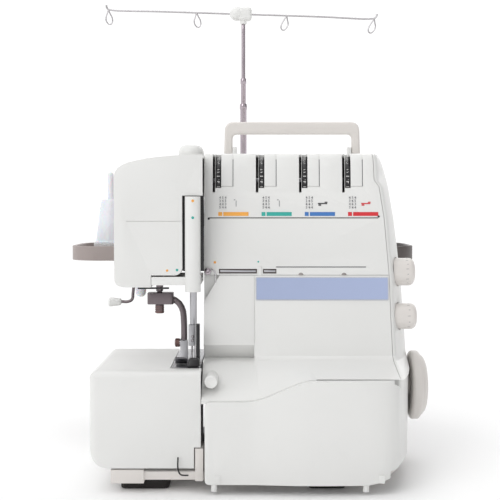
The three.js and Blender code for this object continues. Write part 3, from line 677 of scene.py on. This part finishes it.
class SERGER_OT_needle_parts(SergerPiece, bpy.types.Operator):
    """Needle bar, clamp, needles, presser bar, arm, foot and lifter"""

    bl_idname = "serger.needle_parts"
    bl_label = "Needle and presser"

    def make(self):
        for node, kind in (("needle_bar", "steel"), ("needle_clamp", "steel"), ("presser_bar", "gunmetal"),
                           ("presser_arm", "gunmetal"), ("presser_foot", "steel")):
            refined(node, sizes().small_edge * 0.8, kind)
        self.foot_screw()
        self.stub()
        self.edge_guard()
        for node in ("needle_1", "needle_2"):
            refined(node, 0)
        self.lifter()

    def foot_screw(self):
        """The knurled thumb screw on the foot's ankle."""
        low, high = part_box("presser_foot")
        profile = scaled((
            (3.7, 0), (3.7, 0.5), (4.0, 0.9), (4.0, 3.9), (3.6, 4.4), (2.4, 4.9), (0.8, 5.0)), MM, -MM)
        at = (low.x + 4.6 * MM, low.y + 27 * MM, high.z - 3.5 * MM)
        screw = turned("foot_screw", profile, at, "X", 40)

        def knurled(place, normal):
            return abs(normal.x) < 0.1 and int(place.y * 1e5 + place.z * 1.7e5) % 2 == 0

        with editing(screw):
            pick_faces(screw, knurled)
            bpy.ops.mesh.inset(thickness=0.1 * MM, depth=-0.2 * MM, use_individual=True)
        done(screw, "umber_metal", "presser_bar_body")

    def stub(self):
        """The ribbed end of the presser bar under its bracket."""
        low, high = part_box("presser_bar")
        steps = [(3.3, 0), (4.1, 0.5)]
        for rib in range(4):
            start = 1.2 + rib * 1.7
            steps += [(4.3, start), (4.3, start + 0.7), (3.7, start + 1.0), (3.7, start + 1.5)]
        at = ((low.x + high.x) / 2 - 0.1 * MM, (low.y + high.y) / 2, low.z - 0.2 * MM)
        stub = turned("presser_stub", scaled(steps), at, "Z", 40)
        done(stub, "umber_metal", "presser_bar_body")

    def edge_guard(self):
        """The black guard on the needle plate, in front of the knives."""
        low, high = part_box("needle_plate")
        guard = block("edge_guard", (high.x - 12.4 * MM, low.y + 5 * MM, high.z + 0.1 * MM),
                      (high.x - 0.6 * MM, low.y + 16.4 * MM, high.z + 8 * MM))
        with editing(guard):
            pick_faces(guard, lambda centre, normal: normal.z > 0.9)
            bpy.ops.transform.resize(value=(0.78, 0.7, 1))
            bpy.ops.transform.translate(value=(0.8 * MM, 1.2 * MM, 0))
        round_edges(guard, 2.2 * MM, 5)
        done(guard, "black_plastic", "root")

    def lifter(self):
        low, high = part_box("presser_lifter")
        depth = (low.y + high.y) / 2
        line = [(26.5, 30), (24.6, 22), (23.4, 12), (22.8, 7.4), (20.6, 5.2), (10.4, 4.6)]
        rod = wire("lifter_rod", [(low.x + x * MM, depth, low.z + z * MM) for x, z in line], 1.5 * MM)
        hub = turned("hub", scaled(((3.6, -3.8), (4, -3.4), (4, 3.4), (3.6, 3.8))),
                     (low.x + 26.5 * MM, depth, low.z + 30 * MM), "Y", 32)
        lever = joined("presser_lifter_lever", [rod, hub])
        done(lever, "gunmetal", "presser_lifter_body", ("presser_lifter",), 45)
        paddle = block("lifter_paddle", (low.x, low.y, low.z), (low.x + 12.6 * MM, high.y, low.z + 8.6 * MM))
        with editing(paddle):
            pick_faces(paddle, lambda centre, normal: normal.x > 0.9)
            bpy.ops.transform.resize(value=(1, 0.6, 0.7))
        round_edges(paddle, 2.2 * MM, 5)
        done(paddle, "shell", "presser_lifter_body")


class SERGER_OT_handwheel(SergerPiece, bpy.types.Operator):
    """The handwheel, a flat rim with a domed face"""

    bl_idname = "serger.handwheel"
    bl_label = "Handwheel"

    def make(self):
        low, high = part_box("handwheel")
        radius = (high.z - low.z) / 2
        wide = high.x - low.x
        profile = scaled((
            (0.27, 0), (0.27, 0.17), (0.86, 0.17), (0.95, 0.20), (0.99, 0.25), (1.0, 0.30), (1.0, 0.50),
            (0.99, 0.56), (0.955, 0.62), (0.93, 0.645), (0.905, 0.655), (0.885, 0.70), (0.85, 0.77),
            (0.78, 0.85), (0.66, 0.92), (0.5, 0.965), (0.3, 0.99), (0.1, 1.0)), radius, wide)
        wheel = turned("handwheel_rim", profile, (low.x, (low.y + high.y) / 2, (low.z + high.z) / 2),
                       "X", 128)
        done(wheel, "warm_plastic", "main_shaft_body", ("handwheel",), 40)


class SERGER_OT_side_dials(SergerPiece, bpy.types.Operator):
    """The stitch length and differential feed dials, with their scale marks"""

    bl_idname = "serger.side_dials"
    bl_label = "Side dials"

    def make(self):
        for node, marks in (("stitch_length_dial", 14), ("differential_feed_dial", 11)):
            low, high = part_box(node)
            centre = (low + high) / 2
            radius = (high.z - low.z) / 2
            wide = high.x - low.x
            profile = scaled((
                (1, 0), (1, 0.72), (0.995, 0.77), (0.97, 0.82), (0.92, 0.875), (0.85, 0.92), (0.74, 0.96),
                (0.6, 0.985), (0.4, 0.997), (0.1, 1)), radius, wide)
            dial = turned(f"{node}_cap", profile, (low.x, centre.y, centre.z), "X", 96)
            done(dial, "warm_plastic", BODY_OF[node], (node,), 40)
            self.scale_marks(node, centre, radius, high.x - 0.32 * wide, marks)

    def scale_marks(self, node, centre, radius, along, count):
        marks = []
        for i in range(count):
            angle = math.radians(-140 + 280 * i / (count - 1))
            tall = 2.2 * MM if i % 2 == 0 else 1.3 * MM
            mark = block("mark", (-0.25 * MM, -0.16 * MM, -0.3 * MM), (tall, 0.16 * MM, 0.06 * MM))
            mark.location = (along - tall, 0, radius)
            apply_place(mark)
            mark.rotation_euler = (angle, 0, 0)
            mark.location = (0, centre.y, centre.z)
            apply_place(mark)
            marks.append(mark)
        done(joined(f"{node}_marks", marks), "grey_ink_and_groove_shade", BODY_OF[node])


class SERGER_OT_pressure_knob(SergerPiece, bpy.types.Operator):
    """The domed knob that sets the presser pressure"""

    bl_idname = "serger.pressure_knob"
    bl_label = "Pressure knob"

    def make(self):
        low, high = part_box("pressure_knob")
        radius = (high.x - low.x) / 2
        tall = high.z - low.z
        profile = scaled((
            (0.42, 0), (0.42, 0.48), (0.99, 0.485), (1, 0.50), (1, 0.64), (0.985, 0.70), (0.94, 0.79),
            (0.85, 0.875), (0.70, 0.94), (0.5, 0.98), (0.25, 0.998), (0.05, 1.0)), radius, tall)
        knob = turned("pressure_knob_cap", profile, ((low.x + high.x) / 2, (low.y + high.y) / 2, low.z))
        done(knob, "shell", "pressure_knob_body", ("pressure_knob",), 40)


class SERGER_OT_carrying_handle(SergerPiece, bpy.types.Operator):
    """The folding handle, well rounded for the hand, and its pivot pins"""

    bl_idname = "serger.carrying_handle"
    bl_label = "Carrying handle"

    def make(self):
        refined("carrying_handle", 2.2 * MM, segments=5)


class SERGER_OT_tension_dials(SergerPiece, bpy.types.Operator):
    """The four number wheels of the thread tensions"""

    bl_idname = "serger.tension_dials"
    bl_label = "Tension dials"
    steps = 11

    def make(self):
        for number in range(1, 5):
            node = f"tension_dial_{number}"
            refined(node, sizes().small_edge * 0.5, segments=2)
            low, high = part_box(node)
            centre = (low + high) / 2
            radius = (high.z - low.z) / 2
            marks = [self.mark(i, centre, radius) for i in range(self.steps * 2)]
            done(joined(f"{node}_figures", marks), "pale_ink", BODY_OF[node])

    def mark(self, index, centre, radius):
        angle = math.radians(-120 + 13.0 * index)
        lift = radius + 0.05 * MM
        at = (centre.x, centre.y - lift * math.cos(angle), centre.z + lift * math.sin(angle))
        turn = (math.pi / 2 - angle, 0, 0)
        if index % 2:
            piece = figures("figure", str(index // 2 % 10), sizes().figure_height, at, turn)
            apply_modifier(piece, "SOLIDIFY", thickness=0.1 * MM, offset=-1.0)
            return piece
        piece = block("tick", (-1.4 * MM, -0.3 * MM, -0.08 * MM), (1.4 * MM, 0.3 * MM, 0.03 * MM))
        piece.rotation_euler = turn
        piece.location = at
        apply_place(piece)
        return piece


class SERGER_OT_thread_marks(SergerPiece, bpy.types.Operator):
    """Colour marks, tension tables and looper pictures printed under the dials"""

    bl_idname = "serger.thread_marks"
    bl_label = "Thread marks"

    def make(self):
        cover = bpy.data.objects["tension_cover_shell"]
        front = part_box("tension_cover")[0].y - 5 * MM
        tall = sizes().mark_height
        for number, kind in enumerate(
                ("left_needle", "right_needle", "upper_looper", "lower_looper"), start=1):
            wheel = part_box(f"tension_dial_{number}")[0]
            left = wheel.x + 2.2 * MM
            bottom = wheel.z - 11.2 * MM
            square = flat_patch("mark", left, left + tall, bottom, bottom + tall, front, 3)
            printed(f"{kind}_square", square, cover, kind)
            bar = flat_patch("mark", left + tall + 1.1 * MM, left + 28 * MM, bottom, bottom + tall, front)
            printed(f"{kind}_bar", bar, cover, kind)
            table = figures("table", "4 5 4\n3 4 5\n4 4 3\n5 4 4", 3.3 * MM,
                            (left + 4.2 * MM, front, bottom + 12.4 * MM), gap=0.92)
            printed(f"{kind}_table", table, cover, "grey_ink_and_groove_shade")
            self.picture(kind, number, left + 16.5 * MM, bottom + 11.5 * MM, front, cover)

    def picture(self, kind, number, x, z, front, cover):
        """A stem with a hook for a needle, or a curved arm for a looper."""
        needle = number < 3
        strokes = ((0, 0, 0.5, 5.5), (-1.4, 3.4, 1.4, 0.6)) if needle else (
            (0, 0, 8.5, 1.0), (-2.6, -1.4, 2.6, 1.2), (3.2, 1.2, 2.6, 0.8))
        parts = [flat_patch("stroke", x + (u - w / 2) * MM, x + (u + w / 2) * MM,
                            z + (v - h / 2) * MM, z + (v + h / 2) * MM, front, 2)
                 for u, v, w, h in strokes]
        printed(f"{kind}_picture", joined("picture", parts), cover,
                "grey_ink_and_groove_shade" if needle else ("lower_looper" if number == 4 else "ink"))


class SERGER_OT_painted_groove_shades(SergerPiece, bpy.types.Operator):
    """Painted shade on the floors of the grooves and slits in the tension cover, and a dark sheet for the
    shade in the slots beside the column
    """

    bl_idname = "serger.carved_lines"
    bl_label = "Groove shades"

    def make(self):
        cover = bpy.data.objects["tension_cover_shell"]
        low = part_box("tension_cover")[0]
        # Each row paints shade on the floor of a groove or slit, as left, right, bottom and top in mm from
        # the cover's corner, and the finish.
        rows = [(3.7, 161.3, 52.35, 53.05, "ink"), (66.6, 150.0, 6.9, 7.7, "grey_ink_and_groove_shade"),
                (13.8, 48.9, 1.3, 5.5, "slit_shade_umber"), (54.6, 66.9, 1.3, 5.5, "slit_shade_umber")]
        for number in range(1, 5):
            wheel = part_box(f"tension_dial_{number}")[0].x - low.x
            line = wheel / MM + 15.8
            rows.append((line - 0.3, line + 0.3, 82.0, 107.0, "grey_ink_and_groove_shade"))
        for number, (left, right, bottom, top, kind) in enumerate(rows, start=1):
            patch = flat_patch("line", low.x + left * MM, low.x + right * MM, low.z + bottom * MM,
                               low.z + top * MM, low.y - 4 * MM, 5)
            printed(f"painted_groove_shade_{number}", patch, cover, kind)
        # Dark discs paint shade at the round ends of the long groove.
        for number, (along, up) in enumerate(((4.2, 51.9), (161.7, 54.0)), start=1):
            at = (low.x + along * MM, low.y - 4 * MM, low.z + up * MM)
            printed(f"groove_end_shade_{number}", disc(at, 1.0 * MM), cover, "ink")
        self.column_slot_shade()
        self.sill_plate()
        self.latch_spring()

    def sill_plate(self):
        """The black plate under the head's sill."""
        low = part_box("face_cover")[0]
        plate = block("sill_plate", beside(low, 21.2, 2, -1.6), beside(low, 49.6, 6, -0.1))
        round_edges(plate, 0.3 * MM, 2)
        done(plate, "black_plastic", "root")

    def latch_spring(self):
        """The black spring of the arm cover's latch."""
        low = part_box("base_plate")[0]
        line = [(72.3, 24), (72.3, 14), (73.2, 10.6), (75.2, 8.6), (78, 8.2), (81.4, 8.2)]
        spring = wire("latch_spring", [beside(low, x, -0.2, z) for x, z in line], 0.7 * MM)
        done(spring, "black_plastic", "root")

    def column_slot_shade(self):
        """A dark sheet behind the slots beside the column: painted shade in the slots."""
        low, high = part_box("thread_column_cover")
        right = high.x + 3.1 * MM
        lining = block("column_slot_shade", (right - 19.2 * MM, low.y + 10.3 * MM, high.z - 68 * MM),
                       (right, low.y + 10.9 * MM, high.z + 0.4 * MM))
        round_edges(lining, 0.15 * MM, 2)
        done(lining, "black_plastic", "root")


class SERGER_OT_thread_guides(SergerPiece, bpy.types.Operator):
    """The metal guides, posts and stud along the seam below the tensions"""

    bl_idname = "serger.thread_guides"
    bl_label = "Thread guides"

    def make(self):
        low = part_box("tension_cover")[0]
        for number, (start, end) in enumerate(((14, 48.8), (54.6, 67)), start=1):
            self.slit_lining(number, low, start, end)
        # The posts' grey colour is painted shade on the two dark half-round guides.
        for number, place in enumerate((89.6, 129.5), start=1):
            profile = scaled((
                (4.6, 0), (4.5, 0.8), (4.2, 1.7), (3.6, 2.6), (2.6, 3.4), (1.4, 3.8), (0.4, 3.9)))
            post = turned(f"guide_post_{number}", profile, beside(low, place, 3.9, -0.3), "Z", 48)
            done(post, "painted_shade_grey", "root")
        tab = block("guide_tab", beside(low, 50.0, -0.7, -0.3), beside(low, 53.4, 1.0, 7.6))
        round_edges(tab, 0.5 * MM)
        done(tab, "shell")
        profile = scaled((
            (2.0, 0), (2.0, 3.4), (2.9, 3.8), (3.1, 4.4), (2.7, 5.0), (1.5, 5.2), (1.3, 4.4), (0.4, 4.2)),
            MM, -MM)
        stud = turned("guide_stud", profile, beside(low, 3.6, 2.5, 3.4), "Y", 48)
        done(stud, "dark_chrome", "root")
        line = ((7.2, 0.8, 5.6), (7.4, -1.6, 5.4), (9.4, -2.2, 4.0), (10.4, -1.8, 1.2), (10.6, -1.5, -3.0),
                (10.7, -1.4, -7.0))
        hook = wire("guide_hook", [beside(low, *place) for place in line], 0.5 * MM)
        done(hook, "chrome", "root")

    def slit_lining(self, number, low, start, end):
        """A folded steel strip with a bright lip in the slit."""
        strip = block("strip", beside(low, start + 0.9, 0.5, 2.5), beside(low, end - 0.9, 1.3, 4.5))
        with editing(strip):
            pick_faces(strip, lambda centre, normal: normal.z < -0.9)
            bpy.ops.mesh.inset(thickness=0.2 * MM)
            bpy.ops.transform.translate(value=(0, 0, 0.3 * MM))
        round_edges(strip, 0.2 * MM, 2)
        done(strip, "steel", "root")
        strip.name = f"guide_strip_{number}"


class SERGER_OT_thread_dots(SergerPiece, bpy.types.Operator):
    """Round threading marks on the face cover, the column and the tension cover"""

    bl_idname = "serger.thread_dots"
    bl_label = "Threading dots"

    def make(self):
        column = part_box("thread_column_cover")
        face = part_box("face_cover")
        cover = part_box("tension_cover")
        middle = column[1].x - 7 * MM
        rows = (
            ("left_needle", "thread_column_cover", middle + 0.4 * MM, column[1].z - 4.0 * MM, 1.25),
            ("right_needle", "thread_column_cover", middle + 0.4 * MM, column[1].z - 19.2 * MM, 1.25),
            ("left_needle", "face_cover", face[0].x + 48.1 * MM, face[0].z + 15.4 * MM, 1.1),
            ("right_needle", "face_cover", face[0].x + 57.1 * MM, face[0].z + 15.9 * MM, 1.2),
            ("left_needle", "tension_cover", cover[0].x + 10.0 * MM, cover[0].z + 11.6 * MM, 1.2),
            ("right_needle", "tension_cover", cover[0].x + 50.2 * MM, cover[0].z + 12.2 * MM, 0.8))
        for number, (kind, node, x, z, radius) in enumerate(rows, start=1):
            target = bpy.data.objects[f"{node}_shell"]
            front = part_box(node)[0].y - 4 * MM
            printed(f"thread_dot_{number}", disc((x, front, z), radius * MM), target, kind)


class SERGER_OT_label_strip(SergerPiece, bpy.types.Operator):
    """The plain blue film label under the seam, and the round finger boss of the shelf"""

    bl_idname = "serger.label_strip"
    bl_label = "Label and boss"

    def make(self):
        cover = bpy.data.objects["lower_front_cover_shell"]
        low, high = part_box("lower_front_cover")
        left = low.x + 48.6 * MM
        right = low.x + 169.6 * MM
        rim = flat_patch("rim", left - 0.9 * MM, right + 0.9 * MM, high.z - 22.9 * MM, high.z - 1.5 * MM,
                         low.y - 4 * MM, 6, 1.2 * MM)
        printed("label_rim", rim, cover, "grey_label", depth=0.14 * MM)
        strip = flat_patch("strip", left, right, high.z - 22.0 * MM, high.z - 2.4 * MM,
                           low.y - 4 * MM, 6, 0.8 * MM)
        printed("label_strip", strip, cover, "label", depth=0.34 * MM)
        profile = scaled((
            (5.8, -32), (5.8, 0.4), (5.6, 1.1), (5.0, 1.6), (4.2, 1.5), (3.4, 1.0), (1.0, 0.7)), MM, -MM)
        at = (low.x + 8.4 * MM, low.y + 6.0 * MM, high.z - 89.6 * MM)
        boss = turned("finger_boss", profile, at, "Y", 64)
        done(boss, "shell")


class SERGER_OT_thread_stand(SergerPiece, bpy.types.Operator):
    """The telescopic pole, its head and the wire bar with four eyelets"""

    bl_idname = "serger.thread_stand"
    bl_label = "Thread stand"

    def make(self):
        self.pole()
        self.bar_head()
        self.wire_bar()

    def pole(self):
        for node, body, tube_radius, collar in (
                ("pole_lower_tube", "root", 3.4, 3.9), ("pole_middle_tube", "pole_middle", 2.7, 3.15),
                ("pole_top_rod", "pole_top", 2.1, 2.1)):
            low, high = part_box(node)
            centre = (low + high) / 2
            tall = high.z - low.z
            radius = tube_radius * MM
            top = collar * MM
            steps = [(radius, 0), (radius, tall - 6 * MM), (top, tall - 5.4 * MM), (top, tall - 0.6 * MM),
                     (top - 0.35 * MM, tall)]
            if body == "root":
                steps = [(9 * MM, 0), (9 * MM, 9.5 * MM), (8.2 * MM, 11.2 * MM), (4.4 * MM, 12 * MM),
                         (radius, 12.6 * MM)] + steps[1:]
            tube = turned(f"{node}_bright", steps, (centre.x, centre.y, low.z), "Z", 48)
            done(tube, "dark_chrome", body, (node,), 40)

    def bar_head(self):
        low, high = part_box("guide_bar_head")
        centre = (low + high) / 2
        deselect()
        bpy.ops.mesh.primitive_uv_sphere_add(
            segments=40, ring_count=24, radius=1, location=(low.x + 7.9 * MM, centre.y, high.z - 7.4 * MM))
        lobe = added("lobe")
        lobe.scale = (7.9 * MM, 6.3 * MM, 7.3 * MM)
        apply_place(lobe)
        clip = block("clip", (low.x + 8.6 * MM, centre.y - 5.4 * MM, low.z + 3.3 * MM),
                     (high.x - 0.1 * MM, centre.y + 5.4 * MM, high.z - 0.8 * MM))
        round_edges(clip, 3.4 * MM, 6)
        profile = scaled(((3.5, 0), (3.5, 4.4), (4.2, 6.0)))
        neck = turned("neck", profile, (POLE_X, centre.y, low.z), "Z", 40)
        head = joined("guide_bar_head_cap", [lobe, clip, neck])
        done(head, "shell", "guide_bar", ("guide_bar_head",), 45)

    def wire_bar(self):
        low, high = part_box("thread_guide_bar")
        depth = (low.y + high.y) / 2
        left = low.x + 1.1 * MM
        right = high.x - 1.1 * MM
        top = high.z - 5.8 * MM

        def level(x):
            return top - (x - left) * BAR_SLOPE

        line = [(left, level(left) + 4.8 * MM), (left + 0.7 * MM, level(left) + 1.6 * MM),
                (left + 3.4 * MM, level(left)), (left + 60 * MM, level(left + 60 * MM)),
                (right - 60 * MM, level(right - 60 * MM)), (right - 3.4 * MM, level(right)),
                (right - 0.7 * MM, level(right) + 1.6 * MM), (right, level(right) + 4.8 * MM)]
        parts = [wire("bar", [(x, depth, z) for x, z in line], 1.1 * MM)]
        for place, lean in ((2.2, 1.5), (95.7, 1.5), (191.2, -3.4), (283.9, -3.6)):
            x = left + (place - 0.2) * MM
            loop = (
                (0, 0), (1.5 + lean * 0.25, -4), (3.4 + lean * 0.6, -9.4), (2.3 + lean, -14), (lean, -15.3),
                (lean - 2.3, -14), (lean * 0.6 - 3.4, -9.4), (lean * 0.25 - 1.5, -4), (0, 0))
            line = [(x + u * MM, depth, level(x) + v * MM) for u, v in loop]
            parts.append(wire("loop", line, 0.8 * MM))
        bar = joined("thread_guide_wire", parts)
        done(bar, "chrome", "guide_bar", ("thread_guide_bar",), 45)


class SERGER_OT_spool_stand(SergerPiece, bpy.types.Operator):
    """The spool tray, its pins, cone holders and foam mats"""

    bl_idname = "serger.spool_stand"
    bl_label = "Spool stand"

    def make(self):
        refined("spool_tray", 1.2 * MM, segments=4)
        pin_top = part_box("spool_tray")[1].z
        for number in range(1, 5):
            node = f"cone_holder_{number}"
            low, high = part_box(node)
            centre = (low + high) / 2
            at = (centre.x, centre.y, low.z)
            profile = scaled(((18.2, 0), (18.5, 0.5), (18.5, 5.8), (18.0, 6.5), (17.2, 6.6)))
            mat = turned(f"foam_mat_{number}", profile, at, "Z", 72)
            done(mat, "foam", "root")
            tall = (high.z - low.z) / MM
            profile = scaled((
                (16.6, 6.7), (16.9, 7.1), (16.8, 8.2), (16.0, 8.9), (10.6, tall - 2.2), (10.0, tall - 0.8),
                (9.2, tall), (7.6, tall), (6.8, tall - 1.0), (4.2, tall - 1.6)))
            cone = turned(f"cone_{number}", profile, at, "Z", 72)
            done(cone, "clear_plastic", "root", (node,), 40)
            tip = (pin_top - low.z) / MM
            profile = scaled((
                (3.1, tall - 2.4), (3.1, tip - 2.6), (2.9, tip - 1.2), (2.2, tip - 0.3), (1.0, tip)))
            pin = turned(f"spool_pin_{number}", profile, at, "Z", 40)
            done(pin, "clear_plastic", "root")


class SERGER_OT_screws(SergerPiece, bpy.types.Operator):
    """The rear cover's screws and the screws of the needle clamp"""

    bl_idname = "serger.screws"
    bl_label = "Screws"

    def make(self):
        low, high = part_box("rear_cover")
        for number, (x, z) in enumerate((
                (low.x + 14 * MM, low.z + 14 * MM), (high.x - 22 * MM, low.z + 14 * MM),
                (low.x + 14 * MM, high.z - 16 * MM), (high.x - 22 * MM, high.z - 16 * MM)), start=1):
            self.screw(f"rear_screw_{number}", (x, high.y - 2.6 * MM, z), 3.6 * MM, 1)
        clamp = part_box("needle_clamp")
        for number, drop in enumerate((10.4, 14.0), start=1):
            at = ((clamp[0].x + clamp[1].x) / 2 + 0.6 * MM, clamp[0].y + 1.2 * MM, clamp[1].z - drop * MM)
            self.screw(f"clamp_screw_{number}", at, 1.5 * MM, -1, "needle_bar_body", "gunmetal")

    def screw(self, name, at, radius, facing, body="root", kind="steel"):
        """A pan head with a cross recess; facing is its direction along Y."""
        tall = radius * 0.86
        profile = [(radius, 0), (radius, 0.45 * tall), (radius * 0.93, 0.75 * tall),
                   (radius * 0.72, 0.95 * tall), (radius * 0.5, tall)]
        head = turned(name, [(r, h * facing) for r, h in profile], at, "Y", 32)
        along = at[1] + tall * facing
        for wide, high in ((0.62, 0.13), (0.13, 0.62)):
            cutter = block("cutter", (at[0] - wide * radius, along - 0.4 * tall, at[2] - high * radius),
                           (at[0] + wide * radius, along + 0.4 * tall, at[2] + high * radius))
            apply_modifier(head, "BOOLEAN", object=cutter, operation="DIFFERENCE", solver="EXACT")
            bpy.data.objects.remove(cutter)
        done(head, kind, body)


# ---- stage --------------------------------------------------------------------------
class SERGER_OT_studio(SergerPiece, bpy.types.Operator):
    """A pale floor, soft lights and the camera"""

    bl_idname = "serger.studio"
    bl_label = "Studio"

    def make(self):
        self.floor()
        self.world()
        for name, place, size, power in (
                ("key_light", (-1.1, -1.7, 1.5), 1.4, 12), ("fill_light", (1.5, -1.3, 0.9), 1.6, 5),
                ("top_light", (0.0, -0.1, 1.9), 1.5, 9), ("rear_light", (0.6, 1.7, 1.2), 1.4, 5)):
            self.light(name, place, size, power)
        self.camera()
        bpy.context.scene.view_settings.view_transform = "Standard"

    def floor(self):
        deselect()
        bpy.ops.mesh.primitive_plane_add(size=14, location=(0, 0, -0.0002))
        floor = added("studio_floor")
        with editing(floor):
            pick_all()
            bpy.ops.mesh.subdivide(number_cuts=2)
        finish = Finish("studio_floor_paint", Emission_Strength=1.0)
        clouds = finish.noise(1.4, 2)
        far = finish.node("ShaderNodeVectorMath", {"operation": "LENGTH"}, {0: finish.place()}, "Value")
        faded = finish.rising(far, 0.26, 0.62)
        pale = finish.mix(clouds, (0.94, 0.94, 0.945, 1), (0.97, 0.97, 0.97, 1))
        finish.feed(Base_Color=finish.mix(faded, pale, (0, 0, 0, 1)),
                    Emission_Color=finish.mix(faded, (0.03, 0.03, 0.03, 1), (1, 1, 1, 1)),
                    Roughness=0.62 + clouds * 0.08 + faded * 0.3)
        floor.data.materials.append(finish.material)

    def world(self):
        world = bpy.data.worlds.new("studio_world")
        world.use_nodes = True
        graph = Graph(world.node_tree)
        at = graph.node("ShaderNodeTexCoord", output="Generated")
        behind = graph.rising(graph.part(at, "Y"), 0.15, 0.6)
        aside = 1 - behind
        right = graph.rising(graph.part(at, "X"), 0.05, 0.5) * aside
        left = graph.rising(graph.part(at, "X"), -0.1, -0.8) * aside
        background = world.node_tree.nodes["Background"]
        background.inputs["Color"].default_value = (1.0, 1.0, 1.0, 1)
        strength = 0.64 + behind * 0.46 + left * 0.22 - right * 0.50
        world.node_tree.links.new(strength.socket, background.inputs["Strength"])
        bpy.context.scene.world = world

    def light(self, name, place, size, power):
        data = bpy.data.lights.new(name, "AREA")
        data.size = size
        data.energy = power
        light = bpy.data.objects.new(name, data)
        light.location = place
        aim = Vector((0, 0, 0.18)) - Vector(place)
        light.rotation_euler = aim.to_track_quat("-Z", "Y").to_euler()
        bpy.context.scene.collection.objects.link(light)

    def camera(self):
        data = bpy.data.cameras.new("camera")
        data.lens = CAMERA_LENS
        data.sensor_width = 36
        camera = bpy.data.objects.new("camera", data)
        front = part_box("looper_cover")[0].y
        camera.location = (CAMERA_X, front - sizes().camera_distance, sizes().camera_height)
        camera.rotation_euler = (math.pi / 2 - CAMERA_DOWN, 0, 0)
        bpy.context.scene.collection.objects.link(camera)
        bpy.context.scene.camera = camera


OPERATORS = (
    SERGER_OT_tower_covers, SERGER_OT_head_covers, SERGER_OT_opening_covers, SERGER_OT_base,
    SERGER_OT_inner_works, SERGER_OT_sockets, SERGER_OT_needle_parts, SERGER_OT_handwheel,
    SERGER_OT_side_dials, SERGER_OT_pressure_knob, SERGER_OT_carrying_handle, SERGER_OT_tension_dials,
    SERGER_OT_thread_marks, SERGER_OT_painted_groove_shades, SERGER_OT_thread_guides, SERGER_OT_thread_dots,
    SERGER_OT_label_strip, SERGER_OT_thread_stand, SERGER_OT_spool_stand, SERGER_OT_screws, SERGER_OT_studio)


class SERGER_PT_panel(bpy.types.Panel):
    """Lists the pieces of the machine, with its sizes and colours"""

    bl_idname = "SERGER_PT_panel"
    bl_label = "Serger"
    bl_space_type = "VIEW_3D"
    bl_region_type = "UI"
    bl_category = "Serger"

    def draw(self, context):
        for operator in OPERATORS:
            self.layout.operator(operator.bl_idname)
        for group in (context.scene.serger_sizes, context.scene.serger_colours):
            for name in group.bl_rna.properties.keys():
                if name not in ("rna_type", "name"):
                    self.layout.prop(group, name)


CLASSES = (SergerColours, SergerSizes, *OPERATORS, SERGER_PT_panel)


def register():
    for cls in CLASSES:
        bpy.utils.register_class(cls)
    bpy.types.Scene.serger_colours = PointerProperty(type=SergerColours)
    bpy.types.Scene.serger_sizes = PointerProperty(type=SergerSizes)


def unregister():
    del bpy.types.Scene.serger_sizes
    del bpy.types.Scene.serger_colours
    for cls in reversed(CLASSES):
        bpy.utils.unregister_class(cls)


def main():
    register()
    for operator in OPERATORS:
        group, name = operator.bl_idname.split(".")
        getattr(getattr(bpy.ops, group), name)()


if __name__ == "__main__":
    main()
